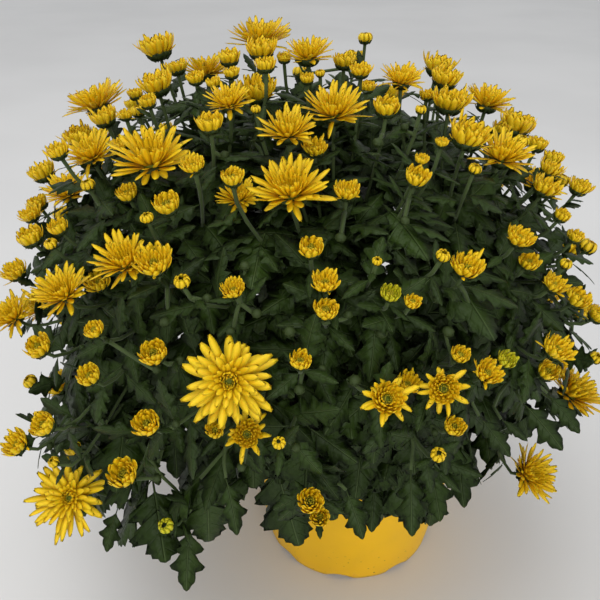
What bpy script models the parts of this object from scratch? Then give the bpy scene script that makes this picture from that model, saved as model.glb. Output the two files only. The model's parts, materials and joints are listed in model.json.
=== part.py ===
"""Pot chrysanthemum: a dome of leafy stems and yellow flower heads in a round plastic pot.

Metres, +Z up, origin at the centre of the pot's foot. The photographed side faces -Y.
Seven leafy stems share the pot. Each fills its own part of the dome, so that none crosses another.
"""

import math
import random

import bmesh
import bpy
import numpy as np
from mathutils import Matrix, Vector

UP = Vector((0, 0, 1))

# Pot: a flat foot in the middle, a raised channel round it, and a foot ring with arches that drain it
POT_HEIGHT = 0.140
POT_MOUTH_RADIUS = 0.093
POT_FOOT_RADIUS = 0.070
POT_WALL = 0.0022
RIM_HEIGHT = 0.016
RIM_OVERHANG = 0.003
MIDDLE_FOOT_RADIUS = 0.040
CHANNEL_RISE = 0.006
POT_SIDES = 22
NOTCHES = 9
NOTCH_SIDES = 18
FIRST_NOTCH = math.radians(-59)
NOTCH_WIDTH = 0.024
NOTCH_RISE = 0.004
DRAIN_HOLES = 4
DRAIN_RADIUS = 0.005
DRAIN_CIRCLE = 0.054
DRAIN_SIDES = 6
CUTTER_DEPTH = 0.02

# Soil, with a hole for each stem
SOIL_TOP = 0.127
SOIL_CROWN = 0.004
PLANTING_DEPTH = 0.030
STEM_HOLE_RADIUS = 0.0055
STEM_HOLE_SIDES = 6
FIT_GAP = 0.0003

# Dome of flower heads, and the stems under it: six round the plant's axis and one on it
DOME_CENTRE = Vector((-0.040, 0.0, 0.222))
DOME_RADIUS = 0.200
DOME_RISE = 0.185
PLANT_AXIS = Vector((-0.020, 0.0, 0.0))
OUTER_STEMS = 6
ROOT_CIRCLE = 0.054
MIDDLE_APOTHEM = 0.042
STEM_GAP = 0.0008
MAIN_STEM_RADIUS = 0.0042
MAIN_STEM_SIDES = 5
MAIN_STEM_SUNK = 0.02
CORE_SHARE = 0.70
CORE_FOOT = 0.146
CORE_LEVELS = (-0.50, 0.05, 0.55, 0.84)

# Where the photograph was taken from, to place what it shows
EYE = Vector((-0.043, -0.452, 0.480))
EYE_PITCH = math.radians(29.8)
PHOTO_FOCAL_PX = 700.0
PHOTO_CENTRE_PX = 300.0

# Flower heads in the photograph: centre and width in pixels, and for the open ones how far each is
# turned from the way it grows towards the eye
OPEN_HEADS = (
    (149, 156, 88, 0.2), (288, 128, 66, 0.1), (334, 108, 72, 0.1), (290, 188, 84, 0.1),
    (229, 380, 105, 0.9), (122, 260, 70, 0.2), (60, 292, 64, 0.2), (68, 497, 80, 0.6),
    (388, 398, 62, 0.3), (444, 388, 56, 0.8), (505, 153, 66, 0.1), (88, 152, 60, 0.2),
    (66, 190, 56, 0.2), (10, 315, 52, 0.2), (308, 52, 56, 0.0), (228, 100, 52, 0.1),
    (489, 99, 56, 0.0), (247, 434, 52, 0.8), (238, 195, 52, 0.1), (398, 78, 48, 0.0),
)
HALF_HEADS = (
    (256, 88, 44), (158, 264, 40), (451, 99, 40), (471, 133, 44), (155, 82, 38),
    (261, 47, 34), (447, 76, 34), (468, 266, 36), (559, 349, 34), (489, 373, 30),
    (408, 384, 28), (97, 282, 32), (103, 116, 30), (77, 135, 32), (56, 150, 22),
    (41, 171, 30), (176, 66, 26), (325, 282, 30), (347, 190, 30), (548, 186, 32),
    (552, 168, 26), (521, 237, 30), (14, 445, 30), (556, 284, 26), (581, 186, 26),
    (13, 271, 28), (361, 69, 24), (315, 147, 28), (233, 289, 26), (195, 165, 26),
    (29, 214, 24), (427, 94, 18), (125, 114, 18), (119, 144, 20),
)
CUP_HEADS = (
    (147, 101, 18), (135, 93, 17), (126, 193, 22), (166, 204, 27), (195, 77, 18),
    (229, 56, 22), (231, 72, 16), (268, 64, 19), (284, 57, 15), (344, 60, 22),
    (307, 78, 15), (368, 86, 17), (387, 106, 26), (213, 82, 15), (209, 122, 26),
    (232, 177, 22), (502, 128, 19), (442, 142, 13), (422, 159, 14), (418, 177, 25),
    (538, 143, 20), (554, 157, 19), (29, 236, 26), (57, 227, 20), (37, 347, 26),
    (93, 330, 20), (150, 353, 28), (88, 376, 24), (311, 248, 25), (326, 310, 24),
    (391, 294, 20), (301, 361, 22), (563, 215, 17), (576, 236, 17), (530, 262, 22),
    (579, 298, 25), (599, 315, 20), (413, 302, 17), (549, 372, 23), (461, 355, 20),
    (508, 360, 20), (41, 426, 24), (144, 424, 28), (122, 475, 30), (215, 431, 20),
    (311, 502, 26), (320, 518, 20), (455, 427, 22), (135, 277, 18),
)
BUD_HEADS = (
    (138, 112, 14), (88, 186, 13), (320, 74, 9), (256, 110, 9), (424, 110, 10),
    (475, 170, 12), (51, 245, 12), (147, 219, 12), (182, 283, 15), (377, 262, 9),
    (443, 257, 13), (566, 265, 11), (522, 142, 13), (166, 527, 14), (279, 444, 12),
    (438, 456, 14), (596, 359, 12), (54, 463, 10),
)
# Lower edge of the foliage in the photograph, in pixels: no leaf hangs below it
SKIRT_LINE = (
    (-60, 380), (20, 452), (60, 515), (105, 553), (150, 556), (190, 598), (215, 550),
    (240, 524), (270, 530), (292, 557), (328, 540), (360, 532), (400, 541), (440, 528),
    (490, 484), (545, 446), (590, 425), (660, 360),
)

# Heads on the side away from the photograph, spread by the golden angle
FAR_LATTICE = 100
FAR_LOWEST = -0.42
FAR_KINDS = (("open", 0.20), ("half", 0.44), ("cup", 0.84), ("bud", 1.0))
FAR_DIAMETERS = {"open": 0.044, "half": 0.026, "cup": 0.015, "bud": 0.010}
FAR_SIZES = (0.85, 1.15)
FAR_JITTER = 0.12
FAR_FACING = 0.02
GOLDEN_ANGLE = math.radians(137.508)

# Heads: how they grow, and the room that each takes, in shares of its radius or depth
UPWARD_LEAN = 1.15
STRAY_LEAN = 0.20
HEAD_DEPTHS = {"open": 0.62, "half": 1.10, "cup": 1.30, "bud": 1.3}
HEAD_MIDDLE = 0.55
HEAD_HALF_DEPTH = 0.62
HEAD_WIDTH = 1.03
HEAD_TEST_RINGS = ((1.0, 0.55), (0.75, 1.0), (0.75, 0.15), (0.4, 1.0), (0.5, 0.0))
HEAD_TEST_SIDES = 12
HEAD_MARGIN = 0.0035
HEADS_NEAR = 0.02
LIFT_STEPS = (1.0, 0.96, 1.04, 0.92, 1.08, 0.88, 0.84, 1.12, 0.80, 0.76)
HEAD_CLEARANCE = 0.0012
MOST_HEAD_NODES = 50
SEED = 19

# Solid heads, as (radius, height) in shares of the head's radius
OPEN_PETALS = 9
HALF_PETALS = 7
SMALL_PETALS = 5
BUD_SIDES = 4
OPEN_TIP = (1.0, 0.36)
OPEN_VALLEY = (0.58, 0.28)
OPEN_THROAT = (0.42, 0.38)
INNER_VALLEY = (0.44, 0.52)
INNER_TIP = (0.66, 0.64)
OPEN_EYE = 0.40
HALF_BELLY = (0.56, 0.28)
HALF_TIP = (1.0, 1.08)
HALF_VALLEY = (0.66, 0.76)
HALF_FLOOR = 0.44
CUP_BELLY = (1.0, 0.56)
CUP_RIM = (0.82, 1.28)
CUP_FLOOR = 0.88
BUD_BELLY = (1.0, 0.7)
BUD_TIP = 1.9
CALYX_SHARE = 0.26

# Stalks
STALK_RADIUS = 0.0015
STALK_CLEARANCE = 0.0006
STALK_TESTED = (0.25, 0.95)
STALK_TEST_POINTS = 15
FORK_MARGIN = 0.004
FORK_SHARE = 0.25
FORK_REACH = 0.018
FORK_SHIFTS = (
    (0, 0, 0), (0, 0, 1), (0, 0, -1), (1, 0, 0), (-1, 0, 0), (0, 1, 0), (0, -1, 0), (1, 1, 0), (-1, 1, 0),
)

# Leaves
LEAF_LENGTHS = (0.046, 0.062)
SKIRT_LEAF_LENGTHS = (0.060, 0.076)
LEAF_THICKNESS = 0.0013
LEAF_HALF_OUTLINE = ((0.18, 0.022), (0.40, 0.29), (0.49, 0.14), (0.72, 0.29), (0.79, 0.12))
LEAF_NOTCH = 3
LEAF_RIB = (0.34, 0.66)
LEAF_ARCH = 0.16
LEAF_FOLD = 0.30
LEAF_CLEARANCE = 0.0018
LEAF_NEAR = 0.12
LEAF_CROWDED = 0.005
LEAF_LOWEST = 0.04
LEAF_TURNS = (0, 0.7, -0.7, 1.3, -1.3, 1.9, -1.9, 2.6, -2.6, 3.1)
POT_CLEARANCE = 0.004
OVER_SOIL = 0.020
CANOPY_LEAVES = 106
CANOPY_LOWEST = -0.40
CANOPY_FOOT_SHARE = 0.66
CANOPY_MARGIN = 0.006
CANOPY_FALL = 0.8
CANOPY_SPREADS = (math.radians(24), math.radians(50))
CANOPY_JITTER = 0.4
CANOPY_SIZES = (1.0, 0.85, 0.72)

# Low shoots with a hanging leaf each: round the foot of the dome, and close to the pot
SKIRT_SHOOTS = 30
SKIRT_JITTER = 0.08
SKIRT_SINES = (-0.50, -0.15)
SKIRT_REACH = (0.80, 0.92)
SKIRT_OUTWARD = (0.2, 0.9)
COLLAR_LEAF_LENGTHS = (0.040, 0.054)
COLLAR_SHOOTS = 20
COLLAR_JITTER = 0.1
COLLAR_REACH = 0.112
COLLAR_LIFT = (0.004, 0.012)
COLLAR_OUTWARD = (0.15, 0.5)
SHOOT_MARGIN = 0.012
SHOOT_START = 0.30
SHOOT_TRIES = 30
SHOOT_SHRINK = 0.012
SHOOT_STRAY = 0.6
SHOOT_FALL = (0.15, 1.1)
SHOOT_RADII = (0.0020, 0.0012)
LEAF_OVERLAP = 0.004

COLOURS = {
    "pot": ((0.80, 0.52, 0.035), 0.38),
    "soil": ((0.045, 0.030, 0.020), 0.95),
    "leaf": ((0.045, 0.095, 0.028), 0.62),
    "petal": ((0.86, 0.58, 0.02), 0.55),
}


# Places


def eye_axes():
    forward = Vector((0, math.cos(EYE_PITCH), -math.sin(EYE_PITCH)))
    return forward, Vector((1, 0, 0)), Vector((0, math.sin(EYE_PITCH), math.cos(EYE_PITCH)))


def sight_line(px, py):
    """Unit direction from the eye through a pixel of the photograph."""
    forward, side, up = eye_axes()
    across = side * (px - PHOTO_CENTRE_PX) - up * (py - PHOTO_CENTRE_PX)
    return (forward + across / PHOTO_FOCAL_PX).normalized()


def pixel_of(point):
    """Where the photograph shows a point."""
    forward, side, up = eye_axes()
    away = point - EYE
    scale = PHOTO_FOCAL_PX / away.dot(forward)
    return PHOTO_CENTRE_PX + away.dot(side) * scale, PHOTO_CENTRE_PX - away.dot(up) * scale


def dome_normal(point):
    away = point - DOME_CENTRE
    return Vector((away.x / DOME_RADIUS**2, away.y / DOME_RADIUS**2, away.z / DOME_RISE**2)).normalized()


def dome_point(azimuth, sine, share=1.0):
    """The point of the dome at an azimuth and at the sine of an elevation, or a share of the way out to it."""
    level = math.sqrt(max(0.0, 1.0 - sine * sine)) * DOME_RADIUS
    away = Vector((level * math.cos(azimuth), level * math.sin(azimuth), sine * DOME_RISE))
    return DOME_CENTRE + away * share


def on_dome(px, py, share=1.0):
    """Where the sight line of a pixel meets the dome, or passes closest beside it."""
    line = sight_line(px, py)
    scale = Vector((1 / DOME_RADIUS, 1 / DOME_RADIUS, 1 / DOME_RISE)) / share
    start = Vector(a * b for a, b in zip(EYE - DOME_CENTRE, scale))
    step = Vector(a * b for a, b in zip(line, scale))
    half_b = start.dot(step)
    inside = max(0.0, half_b**2 - step.length_squared * (start.length_squared - 1.0))
    return EYE + line * ((-half_b - math.sqrt(inside)) / step.length_squared)


def stem_azimuth(stem):
    return (stem + 0.5) * 2 * math.pi / OUTER_STEMS


def level_unit(azimuth):
    return Vector((math.cos(azimuth), math.sin(azimuth), 0))


def region_planes(stem):
    """Planes, as (inward normal, distance), that bound one stem's part of the dome."""
    if stem == OUTER_STEMS:
        return [(-level_unit(stem_azimuth(k)), -MIDDLE_APOTHEM) for k in range(OUTER_STEMS)]
    middle = stem_azimuth(stem)
    twelfth = math.pi / OUTER_STEMS
    return [
        (level_unit(middle), MIDDLE_APOTHEM),
        (level_unit(middle - twelfth + math.pi / 2), 0.0),
        (level_unit(middle + twelfth - math.pi / 2), 0.0),
    ]


REGIONS = [region_planes(k) for k in range(OUTER_STEMS + 1)]


def room(point, stem):
    """Distance from a point to the nearest boundary of a stem's part, negative outside it."""
    return min((point - PLANT_AXIS).dot(normal) - distance for normal, distance in REGIONS[stem])


def stem_under(point):
    return max(range(OUTER_STEMS + 1), key=lambda k: room(point, k))


def kept_in(point, stem, margin):
    """The point, moved as little as needed to lie inside a stem's part."""
    for _ in range(3):
        for normal, distance in REGIONS[stem]:
            short = margin - ((point - PLANT_AXIS).dot(normal) - distance)
            if short > 0:
                point = point + normal * short
    return point


def root_of(stem):
    return PLANT_AXIS + (Vector() if stem == OUTER_STEMS else level_unit(stem_azimuth(stem)) * ROOT_CIRCLE)


def core_reach(azimuth, height):
    """Distance from the plant's axis to the side of the core."""
    share = math.sqrt(CORE_SHARE**2 - ((height - DOME_CENTRE.z) / DOME_RISE) ** 2)
    away = PLANT_AXIS - Vector((DOME_CENTRE.x, DOME_CENTRE.y, 0))
    along = away.dot(level_unit(azimuth))
    return math.sqrt(along**2 - away.length_squared + (DOME_RADIUS * share) ** 2) - along


def on_core_top(point):
    """The point raised to the top of the core."""
    away = point - DOME_CENTRE
    share = math.sqrt(CORE_SHARE**2 - (away.x**2 + away.y**2) / DOME_RADIUS**2)
    return Vector((point.x, point.y, DOME_CENTRE.z + DOME_RISE * share))


def core_corners(stem):
    """Corners of the dense middle of one stem's foliage."""
    twelfth = math.pi / OUTER_STEMS
    if stem == OUTER_STEMS:
        azimuths = [2 * k * twelfth for k in range(OUTER_STEMS)]
    else:
        azimuths = [stem_azimuth(stem) + side * twelfth for side in (-1, 1)]
    corner_reach = MIDDLE_APOTHEM / math.cos(twelfth)
    inner = [kept_in(PLANT_AXIS + level_unit(a) * corner_reach, stem, STEM_GAP) for a in azimuths]
    corners = [p + UP * CORE_FOOT for p in inner] + [on_core_top(p) for p in inner]
    if stem == OUTER_STEMS:
        return [*corners, on_core_top(PLANT_AXIS)]
    for level in CORE_LEVELS:
        height = DOME_CENTRE.z + DOME_RISE * CORE_SHARE * level
        for turn in (-twelfth, 0, twelfth):
            azimuth = stem_azimuth(stem) + turn
            side = PLANT_AXIS + level_unit(azimuth) * core_reach(azimuth, height) + UP * height
            corners.append(kept_in(side, stem, STEM_GAP))
    return corners


CORES = [core_corners(k) for k in range(OUTER_STEMS + 1)]
CORE_MIDDLES = [sum(corners, Vector()) / len(corners) for corners in CORES]


def side_axes(axis):
    """Two unit vectors square to an axis and to each other."""
    u = axis.cross(UP if abs(axis.z) < 0.9 else Vector((1, 0, 0))).normalized()
    return u, axis.cross(u).normalized()


# Flower heads


class Head:
    """One flower head: its place, the way that it faces, its radius, and the stem that carries it."""

    def __init__(self, kind, point, radius, turned_to_eye, draw):
        lean = Vector((draw.uniform(-1, 1), draw.uniform(-1, 1), draw.uniform(-1, 1))) * STRAY_LEAN
        grows = (dome_normal(point) + UP * UPWARD_LEAN + lean).normalized()
        self.kind = kind
        self.radius = radius
        self.tall = radius * HEAD_DEPTHS[kind]
        self.facing = grows.lerp((EYE - point).normalized(), turned_to_eye).normalized()
        self.turn = draw.uniform(0, 2 * math.pi)

    def put_at(self, point):
        base = point - self.facing * (self.tall * 0.5)
        self.stem = stem_under(base)
        self.base = kept_in(base, self.stem, HEAD_MARGIN)
        self.middle = self.base + self.facing * (self.tall * HEAD_MIDDLE)

    def clear_of(self, points, margin):
        """True if none of the points is in the flattened ball that this head fills."""
        away = points - np.array(self.middle)
        along = away @ np.array(self.facing)
        across = (away**2).sum(1) - along**2
        wide = self.radius * HEAD_WIDTH + margin
        deep = self.tall * HEAD_HALF_DEPTH + margin
        return bool((across / wide**2 + (along / deep) ** 2 >= 1).all())

    def outside(self):
        """Points on the outside of this head, to test against another."""
        u, v = side_axes(self.facing)
        angles = [k * 2 * math.pi / HEAD_TEST_SIDES for k in range(HEAD_TEST_SIDES)]
        points = [
            self.base + self.facing * (self.tall * z) + (u * math.cos(a) + v * math.sin(a)) * (self.radius * r)
            for r, z in HEAD_TEST_RINGS
            for a in angles
        ]
        return np.array([*points, self.base, self.middle])


def stalk_points(fork, base):
    """Points along a stalk between its foot in the core and its head."""
    return np.array([fork.lerp(base, share) for share in np.linspace(*STALK_TESTED, STALK_TEST_POINTS)])


def find_fork(head, heads):
    """Where a head's stalk leaves its leafy stem, deep in the dome, so that no other head is in its way."""
    middle = CORE_MIDDLES[head.stem]
    for shift in FORK_SHIFTS:
        wish = middle.lerp(head.base, FORK_SHARE) + Vector(shift) * FORK_REACH
        fork = kept_in(wish, head.stem, FORK_MARGIN)
        points = stalk_points(fork, head.base)
        if all(other.clear_of(points, STALK_RADIUS + STALK_CLEARANCE) for other in heads):
            return fork
    return None


def place_head(heads, head, line_point):
    """Lifts or sinks a head until it and its stalk are clear of the heads already placed."""
    for share in LIFT_STEPS:
        head.put_at(line_point(share))
        outside = head.outside()
        reach = head.radius + HEADS_NEAR
        near = [other for other in heads if (other.base - head.base).length < other.radius + reach]
        if not all(
            other.clear_of(outside, HEAD_CLEARANCE) and head.clear_of(other.outside(), HEAD_CLEARANCE)
            for other in near
        ):
            continue
        if not all(head.clear_of(stalk_points(other.fork, other.base), STALK_RADIUS) for other in heads):
            continue
        head.fork = find_fork(head, heads)
        if head.fork:
            heads.append(head)
            return True
    return False


def seen_heads(heads, draw):
    forward, _, _ = eye_axes()
    for kind, rows in (("open", OPEN_HEADS), ("half", HALF_HEADS), ("cup", CUP_HEADS), ("bud", BUD_HEADS)):
        for px, py, width_px, *turned_to_eye in rows:
            point = on_dome(px, py)
            radius = 0.5 * width_px / PHOTO_FOCAL_PX * (point - EYE).dot(forward)
            head = Head(kind, point, radius, sum(turned_to_eye), draw)
            if not place_head(heads, head, lambda share, x=px, y=py: on_dome(x, y, share)):
                print(f"no room for the {kind} head at {px}, {py}")


def far_heads(heads, draw):
    for k in range(FAR_LATTICE):
        sine = 1.0 - (k + 0.5) / FAR_LATTICE * (1.0 - FAR_LOWEST)
        azimuth = k * GOLDEN_ANGLE + draw.uniform(-FAR_JITTER, FAR_JITTER)
        point = dome_point(azimuth, sine)
        pick = draw.random()
        kind = next(name for name, share in FAR_KINDS if pick <= share)
        head = Head(kind, point, 0.5 * FAR_DIAMETERS[kind] * draw.uniform(*FAR_SIZES), 0.0, draw)
        if dome_normal(point).dot((EYE - point).normalized()) < FAR_FACING:
            place_head(heads, head, lambda share, a=azimuth, s=sine: dome_point(a, s, share))


def all_heads():
    draw = random.Random(SEED)
    heads = []
    seen_heads(heads, draw)
    far_heads(heads, draw)
    return heads


# Leaves


class Leaf:
    """One leaf: its stem, foot, direction of its rib, upper side and length."""

    def __init__(self, stem, foot, along, upper, length):
        self.stem = stem
        self.foot = foot
        self.along = along.normalized()
        self.upper = (upper - self.along * upper.dot(self.along)).normalized()
        self.across = self.upper.cross(self.along)
        self.length = length

    def point(self, x, y, raised=0.0):
        """A point of the blade, x along the rib and y across it, in shares of the length."""
        drop = LEAF_ARCH * x * x + LEAF_FOLD * abs(y) ** 1.5
        flat = self.foot + (self.along * x + self.across * y) * self.length
        return flat + self.upper * (raised - drop * self.length)

    def outline(self):
        right = [self.point(x, y) for x, y in LEAF_HALF_OUTLINE]
        left = [self.point(x, -y) for x, y in LEAF_HALF_OUTLINE]
        return [self.point(0, 0), *right, self.point(1, 0), *reversed(left)]

    def test_points(self):
        rim = self.outline()[1:]
        rib = [self.point(x, 0) for x in LEAF_RIB]
        return rim + rib + [(a + b) / 2 for a, b in zip(rim, rim[1:])] + [(a + b) / 2 for a in rib for b in rim]


def skirt_height(px):
    """Lower edge of the foliage in the photograph at a column of it."""
    xs, ys = zip(*SKIRT_LINE)
    return float(np.interp(px, xs, ys))


def hangs_too_low(point):
    px, py = pixel_of(point)
    return py > skirt_height(px)


def wall_radius(height):
    """Outer radius of the pot's wall at a height."""
    return POT_FOOT_RADIUS + (POT_MOUTH_RADIUS - POT_FOOT_RADIUS) * height / POT_HEIGHT


def meets_pot(point):
    radius = wall_radius(min(POT_HEIGHT, point.z)) + RIM_OVERHANG + POT_CLEARANCE
    return point.z < SOIL_TOP + OVER_SOIL and math.hypot(point.x, point.y) < radius


def leaf_fits(leaf, heads):
    points = leaf.test_points()
    if min(room(p, leaf.stem) for p in points) < STEM_GAP:
        return False
    if any(p.z < LEAF_LOWEST or meets_pot(p) or hangs_too_low(p) for p in points):
        return False
    cloud = np.array(points)
    near = [head for head in heads if (head.base - leaf.foot).length < LEAF_NEAR]
    return all(head.clear_of(cloud, LEAF_CLEARANCE) for head in near)


def crowding(leaf, leaves, heads):
    """How many points of this leaf come close to other leaves and stalks of its stem."""
    cloud = np.array(leaf.test_points())
    beside = [other for other in leaves if other.stem == leaf.stem]
    clouds = [other.cloud for other in beside if (other.foot - leaf.foot).length < LEAF_NEAR]
    clouds += [stalk_points(head.fork, head.base) for head in heads if head.stem == leaf.stem]
    gaps = [np.linalg.norm(cloud[:, None] - other[None], axis=2).min(1) for other in clouds]
    return sum(int((gap < LEAF_CROWDED).sum()) for gap in gaps)


def add_best(leaves, candidates, heads):
    """Adds the least crowded of the candidate leaves that clear everything."""
    fitting = [leaf for leaf in candidates if leaf_fits(leaf, heads)]
    if not fitting:
        return None
    best = min(fitting, key=lambda leaf: crowding(leaf, leaves, heads))
    best.cloud = np.array(best.test_points())
    leaves.append(best)
    return best


def canopy_leaves(heads, leaves):
    """Large leaves that stand out of the cores all over the dome, outwards and down before any other way."""
    draw = random.Random(SEED + 1)
    for k in range(CANOPY_LEAVES):
        sine = 1.0 - (k + 0.5) / CANOPY_LEAVES * (1.0 - CANOPY_LOWEST)
        foot = dome_point(k * GOLDEN_ANGLE, sine, CANOPY_FOOT_SHARE)
        stem = stem_under(foot)
        foot = kept_in(foot, stem, CANOPY_MARGIN)
        out = dome_normal(foot)
        outward = Vector((out.x, out.y, 0)) - UP * CANOPY_FALL
        down = (outward - out * outward.dot(out)).normalized()
        length = draw.uniform(*LEAF_LENGTHS)
        spread = draw.uniform(*CANOPY_SPREADS)
        jitter = draw.uniform(-CANOPY_JITTER, CANOPY_JITTER)
        candidates = [
            Leaf(
                stem,
                foot,
                Matrix.Rotation(turn + jitter, 3, out) @ down * math.sin(spread) + out * math.cos(spread),
                out + UP * UPWARD_LEAN,
                length * size,
            )
            for size in CANOPY_SIZES
            for turn in LEAF_TURNS
        ]
        add_best(leaves, candidates, heads)


def add_shoot_leaf(shoots, leaves, heads, end, azimuth, outward, lengths, draw):
    """A shoot from the core to a place at the foot of the dome, with a leaf that hangs from its end."""
    stem = stem_under(end)
    end = kept_in(end, stem, SHOOT_MARGIN)
    start = CORE_MIDDLES[stem].lerp(end, SHOOT_START)
    start.z = max(start.z, CORE_FOOT + SHOOT_MARGIN)
    foot = end - (end - start).normalized() * LEAF_OVERLAP
    candidates = []
    for attempt in range(SHOOT_TRIES):
        lean = level_unit(azimuth + draw.uniform(-SHOOT_STRAY, SHOOT_STRAY))
        along = lean * draw.uniform(*outward) - UP * draw.uniform(*SHOOT_FALL)
        length = draw.uniform(*lengths) * (1 - SHOOT_SHRINK * attempt)
        candidates.append(Leaf(stem, foot, along, lean + UP * UPWARD_LEAN, length))
    leaf = add_best(leaves, candidates, heads)
    if leaf:
        shoots.append((start, end, leaf))


def low_shoots(heads, leaves):
    """Shoots with hanging leaves, round the foot of the dome and close to the pot, as (start, end, leaf)."""
    draw = random.Random(SEED + 2)
    shoots = []
    for k in range(SKIRT_SHOOTS):
        azimuth = (k + 0.5) * 2 * math.pi / SKIRT_SHOOTS + draw.uniform(-SKIRT_JITTER, SKIRT_JITTER)
        end = dome_point(azimuth, draw.uniform(*SKIRT_SINES), draw.uniform(*SKIRT_REACH))
        add_shoot_leaf(shoots, leaves, heads, end, azimuth, SKIRT_OUTWARD, SKIRT_LEAF_LENGTHS, draw)
    for k in range(COLLAR_SHOOTS):
        azimuth = (k + 0.2) * 2 * math.pi / COLLAR_SHOOTS + draw.uniform(-COLLAR_JITTER, COLLAR_JITTER)
        end = level_unit(azimuth) * COLLAR_REACH + UP * (CORE_FOOT + draw.uniform(*COLLAR_LIFT))
        add_shoot_leaf(shoots, leaves, heads, end, azimuth, COLLAR_OUTWARD, COLLAR_LEAF_LENGTHS, draw)
    return shoots


# Solids


def material(name):
    colour, roughness = COLOURS[name]
    made = bpy.data.materials.get(name) or bpy.data.materials.new(name)
    made.use_nodes = True
    shader = made.node_tree.nodes["Principled BSDF"]
    shader.inputs["Base Color"].default_value = (*colour, 1)
    shader.inputs["Roughness"].default_value = roughness
    shader.inputs["Metallic"].default_value = 0.0
    made.diffuse_color = (*colour, 1)
    return made


def collection(name):
    made = bpy.data.collections.new(name)
    bpy.context.scene.collection.children.link(made)
    return made


def add_object(name, bm, folder):
    """Makes an object of a bmesh, with its faces turned outwards."""
    bmesh.ops.recalc_face_normals(bm, faces=bm.faces)
    mesh = bpy.data.meshes.new(name)
    bm.to_mesh(mesh)
    bm.free()
    obj = bpy.data.objects.new(name, mesh)
    folder.objects.link(obj)
    return obj


def keep_largest_piece(mesh):
    """Drops loose scraps, and fills hollows that the joining sealed."""
    bm = bmesh.new()
    bm.from_mesh(mesh)
    left = set(bm.faces)
    pieces = []
    while left:
        piece = [left.pop()]
        for face in piece:
            beside = {other for edge in face.edges for other in edge.link_faces} & left
            left -= beside
            piece.extend(beside)
        pieces.append(piece)
    pieces.sort(key=len)
    spare = [face for piece in pieces[:-1] for face in piece]
    bmesh.ops.delete(bm, geom=spare, context="FACES")
    bm.to_mesh(mesh)
    bm.free()


def fused(name, first, others, folder, finish):
    """One object: first joined with every object of a collection, which is then removed."""
    joint = first.modifiers.new("join", "BOOLEAN")
    joint.operation = "UNION"
    joint.operand_type = "COLLECTION"
    joint.collection = others
    joint.solver = "MANIFOLD"
    bpy.context.view_layer.update()
    mesh = bpy.data.meshes.new_from_object(first.evaluated_get(bpy.context.evaluated_depsgraph_get()))
    mesh.name = name
    keep_largest_piece(mesh)
    for obj in [first, *others.objects]:
        bpy.data.objects.remove(obj)
    bpy.data.collections.remove(others)
    made = bpy.data.objects.new(name, mesh)
    folder.objects.link(made)
    mesh.materials.clear()
    mesh.materials.append(material(finish))
    return made


def turned_solid(name, outline, folder, finish):
    """Turns an outline of (radius, height) round the pot's axis, from its top down its outer side."""
    bm = bmesh.new()
    points = [bm.verts.new((radius, 0, height)) for radius, height in outline]
    for a, b in zip(points, points[1:]):
        bm.edges.new((a, b))
    mesh = bpy.data.meshes.new(name)
    bm.to_mesh(mesh)
    bm.free()
    obj = bpy.data.objects.new(name, mesh)
    folder.objects.link(obj)
    screw = obj.modifiers.new("turn", "SCREW")
    screw.steps = screw.render_steps = POT_SIDES
    screw.use_merge_vertices = True
    screw.merge_threshold = 1e-5
    mesh.materials.append(material(finish))
    return obj


def add_cylinder(folder, name, radius, depth, place, sides):
    """A solid cylinder whose middle and axis are those of its place."""
    bm = bmesh.new()
    bmesh.ops.create_cone(
        bm, cap_ends=True, segments=sides, radius1=radius, radius2=radius, depth=depth, matrix=place
    )
    return add_object(name, bm, folder)


def cut_by(obj, cutters):
    cutters.hide_render = True
    for cutter in cutters.objects:
        cutter.hide_render = True
        cutter.display_type = "WIRE"
    cut = obj.modifiers.new("cut", "BOOLEAN")
    cut.operation = "DIFFERENCE"
    cut.operand_type = "COLLECTION"
    cut.collection = cutters
    cut.solver = "EXACT"


def make_pot(folder):
    under_rim = POT_HEIGHT - RIM_HEIGHT
    channel_top = CHANNEL_RISE + POT_WALL
    outline = [
        (0, POT_WALL),
        (MIDDLE_FOOT_RADIUS - POT_WALL, POT_WALL),
        (MIDDLE_FOOT_RADIUS - POT_WALL, channel_top),
        (wall_radius(channel_top) - POT_WALL, channel_top),
        (POT_MOUTH_RADIUS - POT_WALL, POT_HEIGHT),
        (POT_MOUTH_RADIUS + RIM_OVERHANG, POT_HEIGHT),
        (wall_radius(under_rim) + RIM_OVERHANG, under_rim),
        (wall_radius(under_rim), under_rim),
        (POT_FOOT_RADIUS, 0),
        (POT_FOOT_RADIUS - POT_WALL, 0),
        (POT_FOOT_RADIUS - POT_WALL, CHANNEL_RISE),
        (MIDDLE_FOOT_RADIUS, CHANNEL_RISE),
        (MIDDLE_FOOT_RADIUS, 0),
        (0, 0),
    ]
    pot = turned_solid("pot", outline, folder, "pot")
    cutters = collection("pot_cutters")
    arch_radius = ((NOTCH_WIDTH / 2) ** 2 + NOTCH_RISE**2) / (2 * NOTCH_RISE)
    for k in range(NOTCHES):
        place = (
            Matrix.Rotation(FIRST_NOTCH + k * 2 * math.pi / NOTCHES, 4, "Z")
            @ Matrix.Translation((POT_FOOT_RADIUS, 0, NOTCH_RISE - arch_radius))
            @ Matrix.Rotation(math.pi / 2, 4, "Y")
        )
        add_cylinder(cutters, f"notch_{k + 1}", arch_radius, CUTTER_DEPTH, place, NOTCH_SIDES)
    for k in range(DRAIN_HOLES):
        centre = level_unit((k + 0.5) * 2 * math.pi / DRAIN_HOLES) * DRAIN_CIRCLE + UP * CHANNEL_RISE
        place = Matrix.Translation(centre)
        add_cylinder(cutters, f"drain_{k + 1}", DRAIN_RADIUS, CUTTER_DEPTH, place, DRAIN_SIDES)
    cut_by(pot, cutters)


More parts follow.
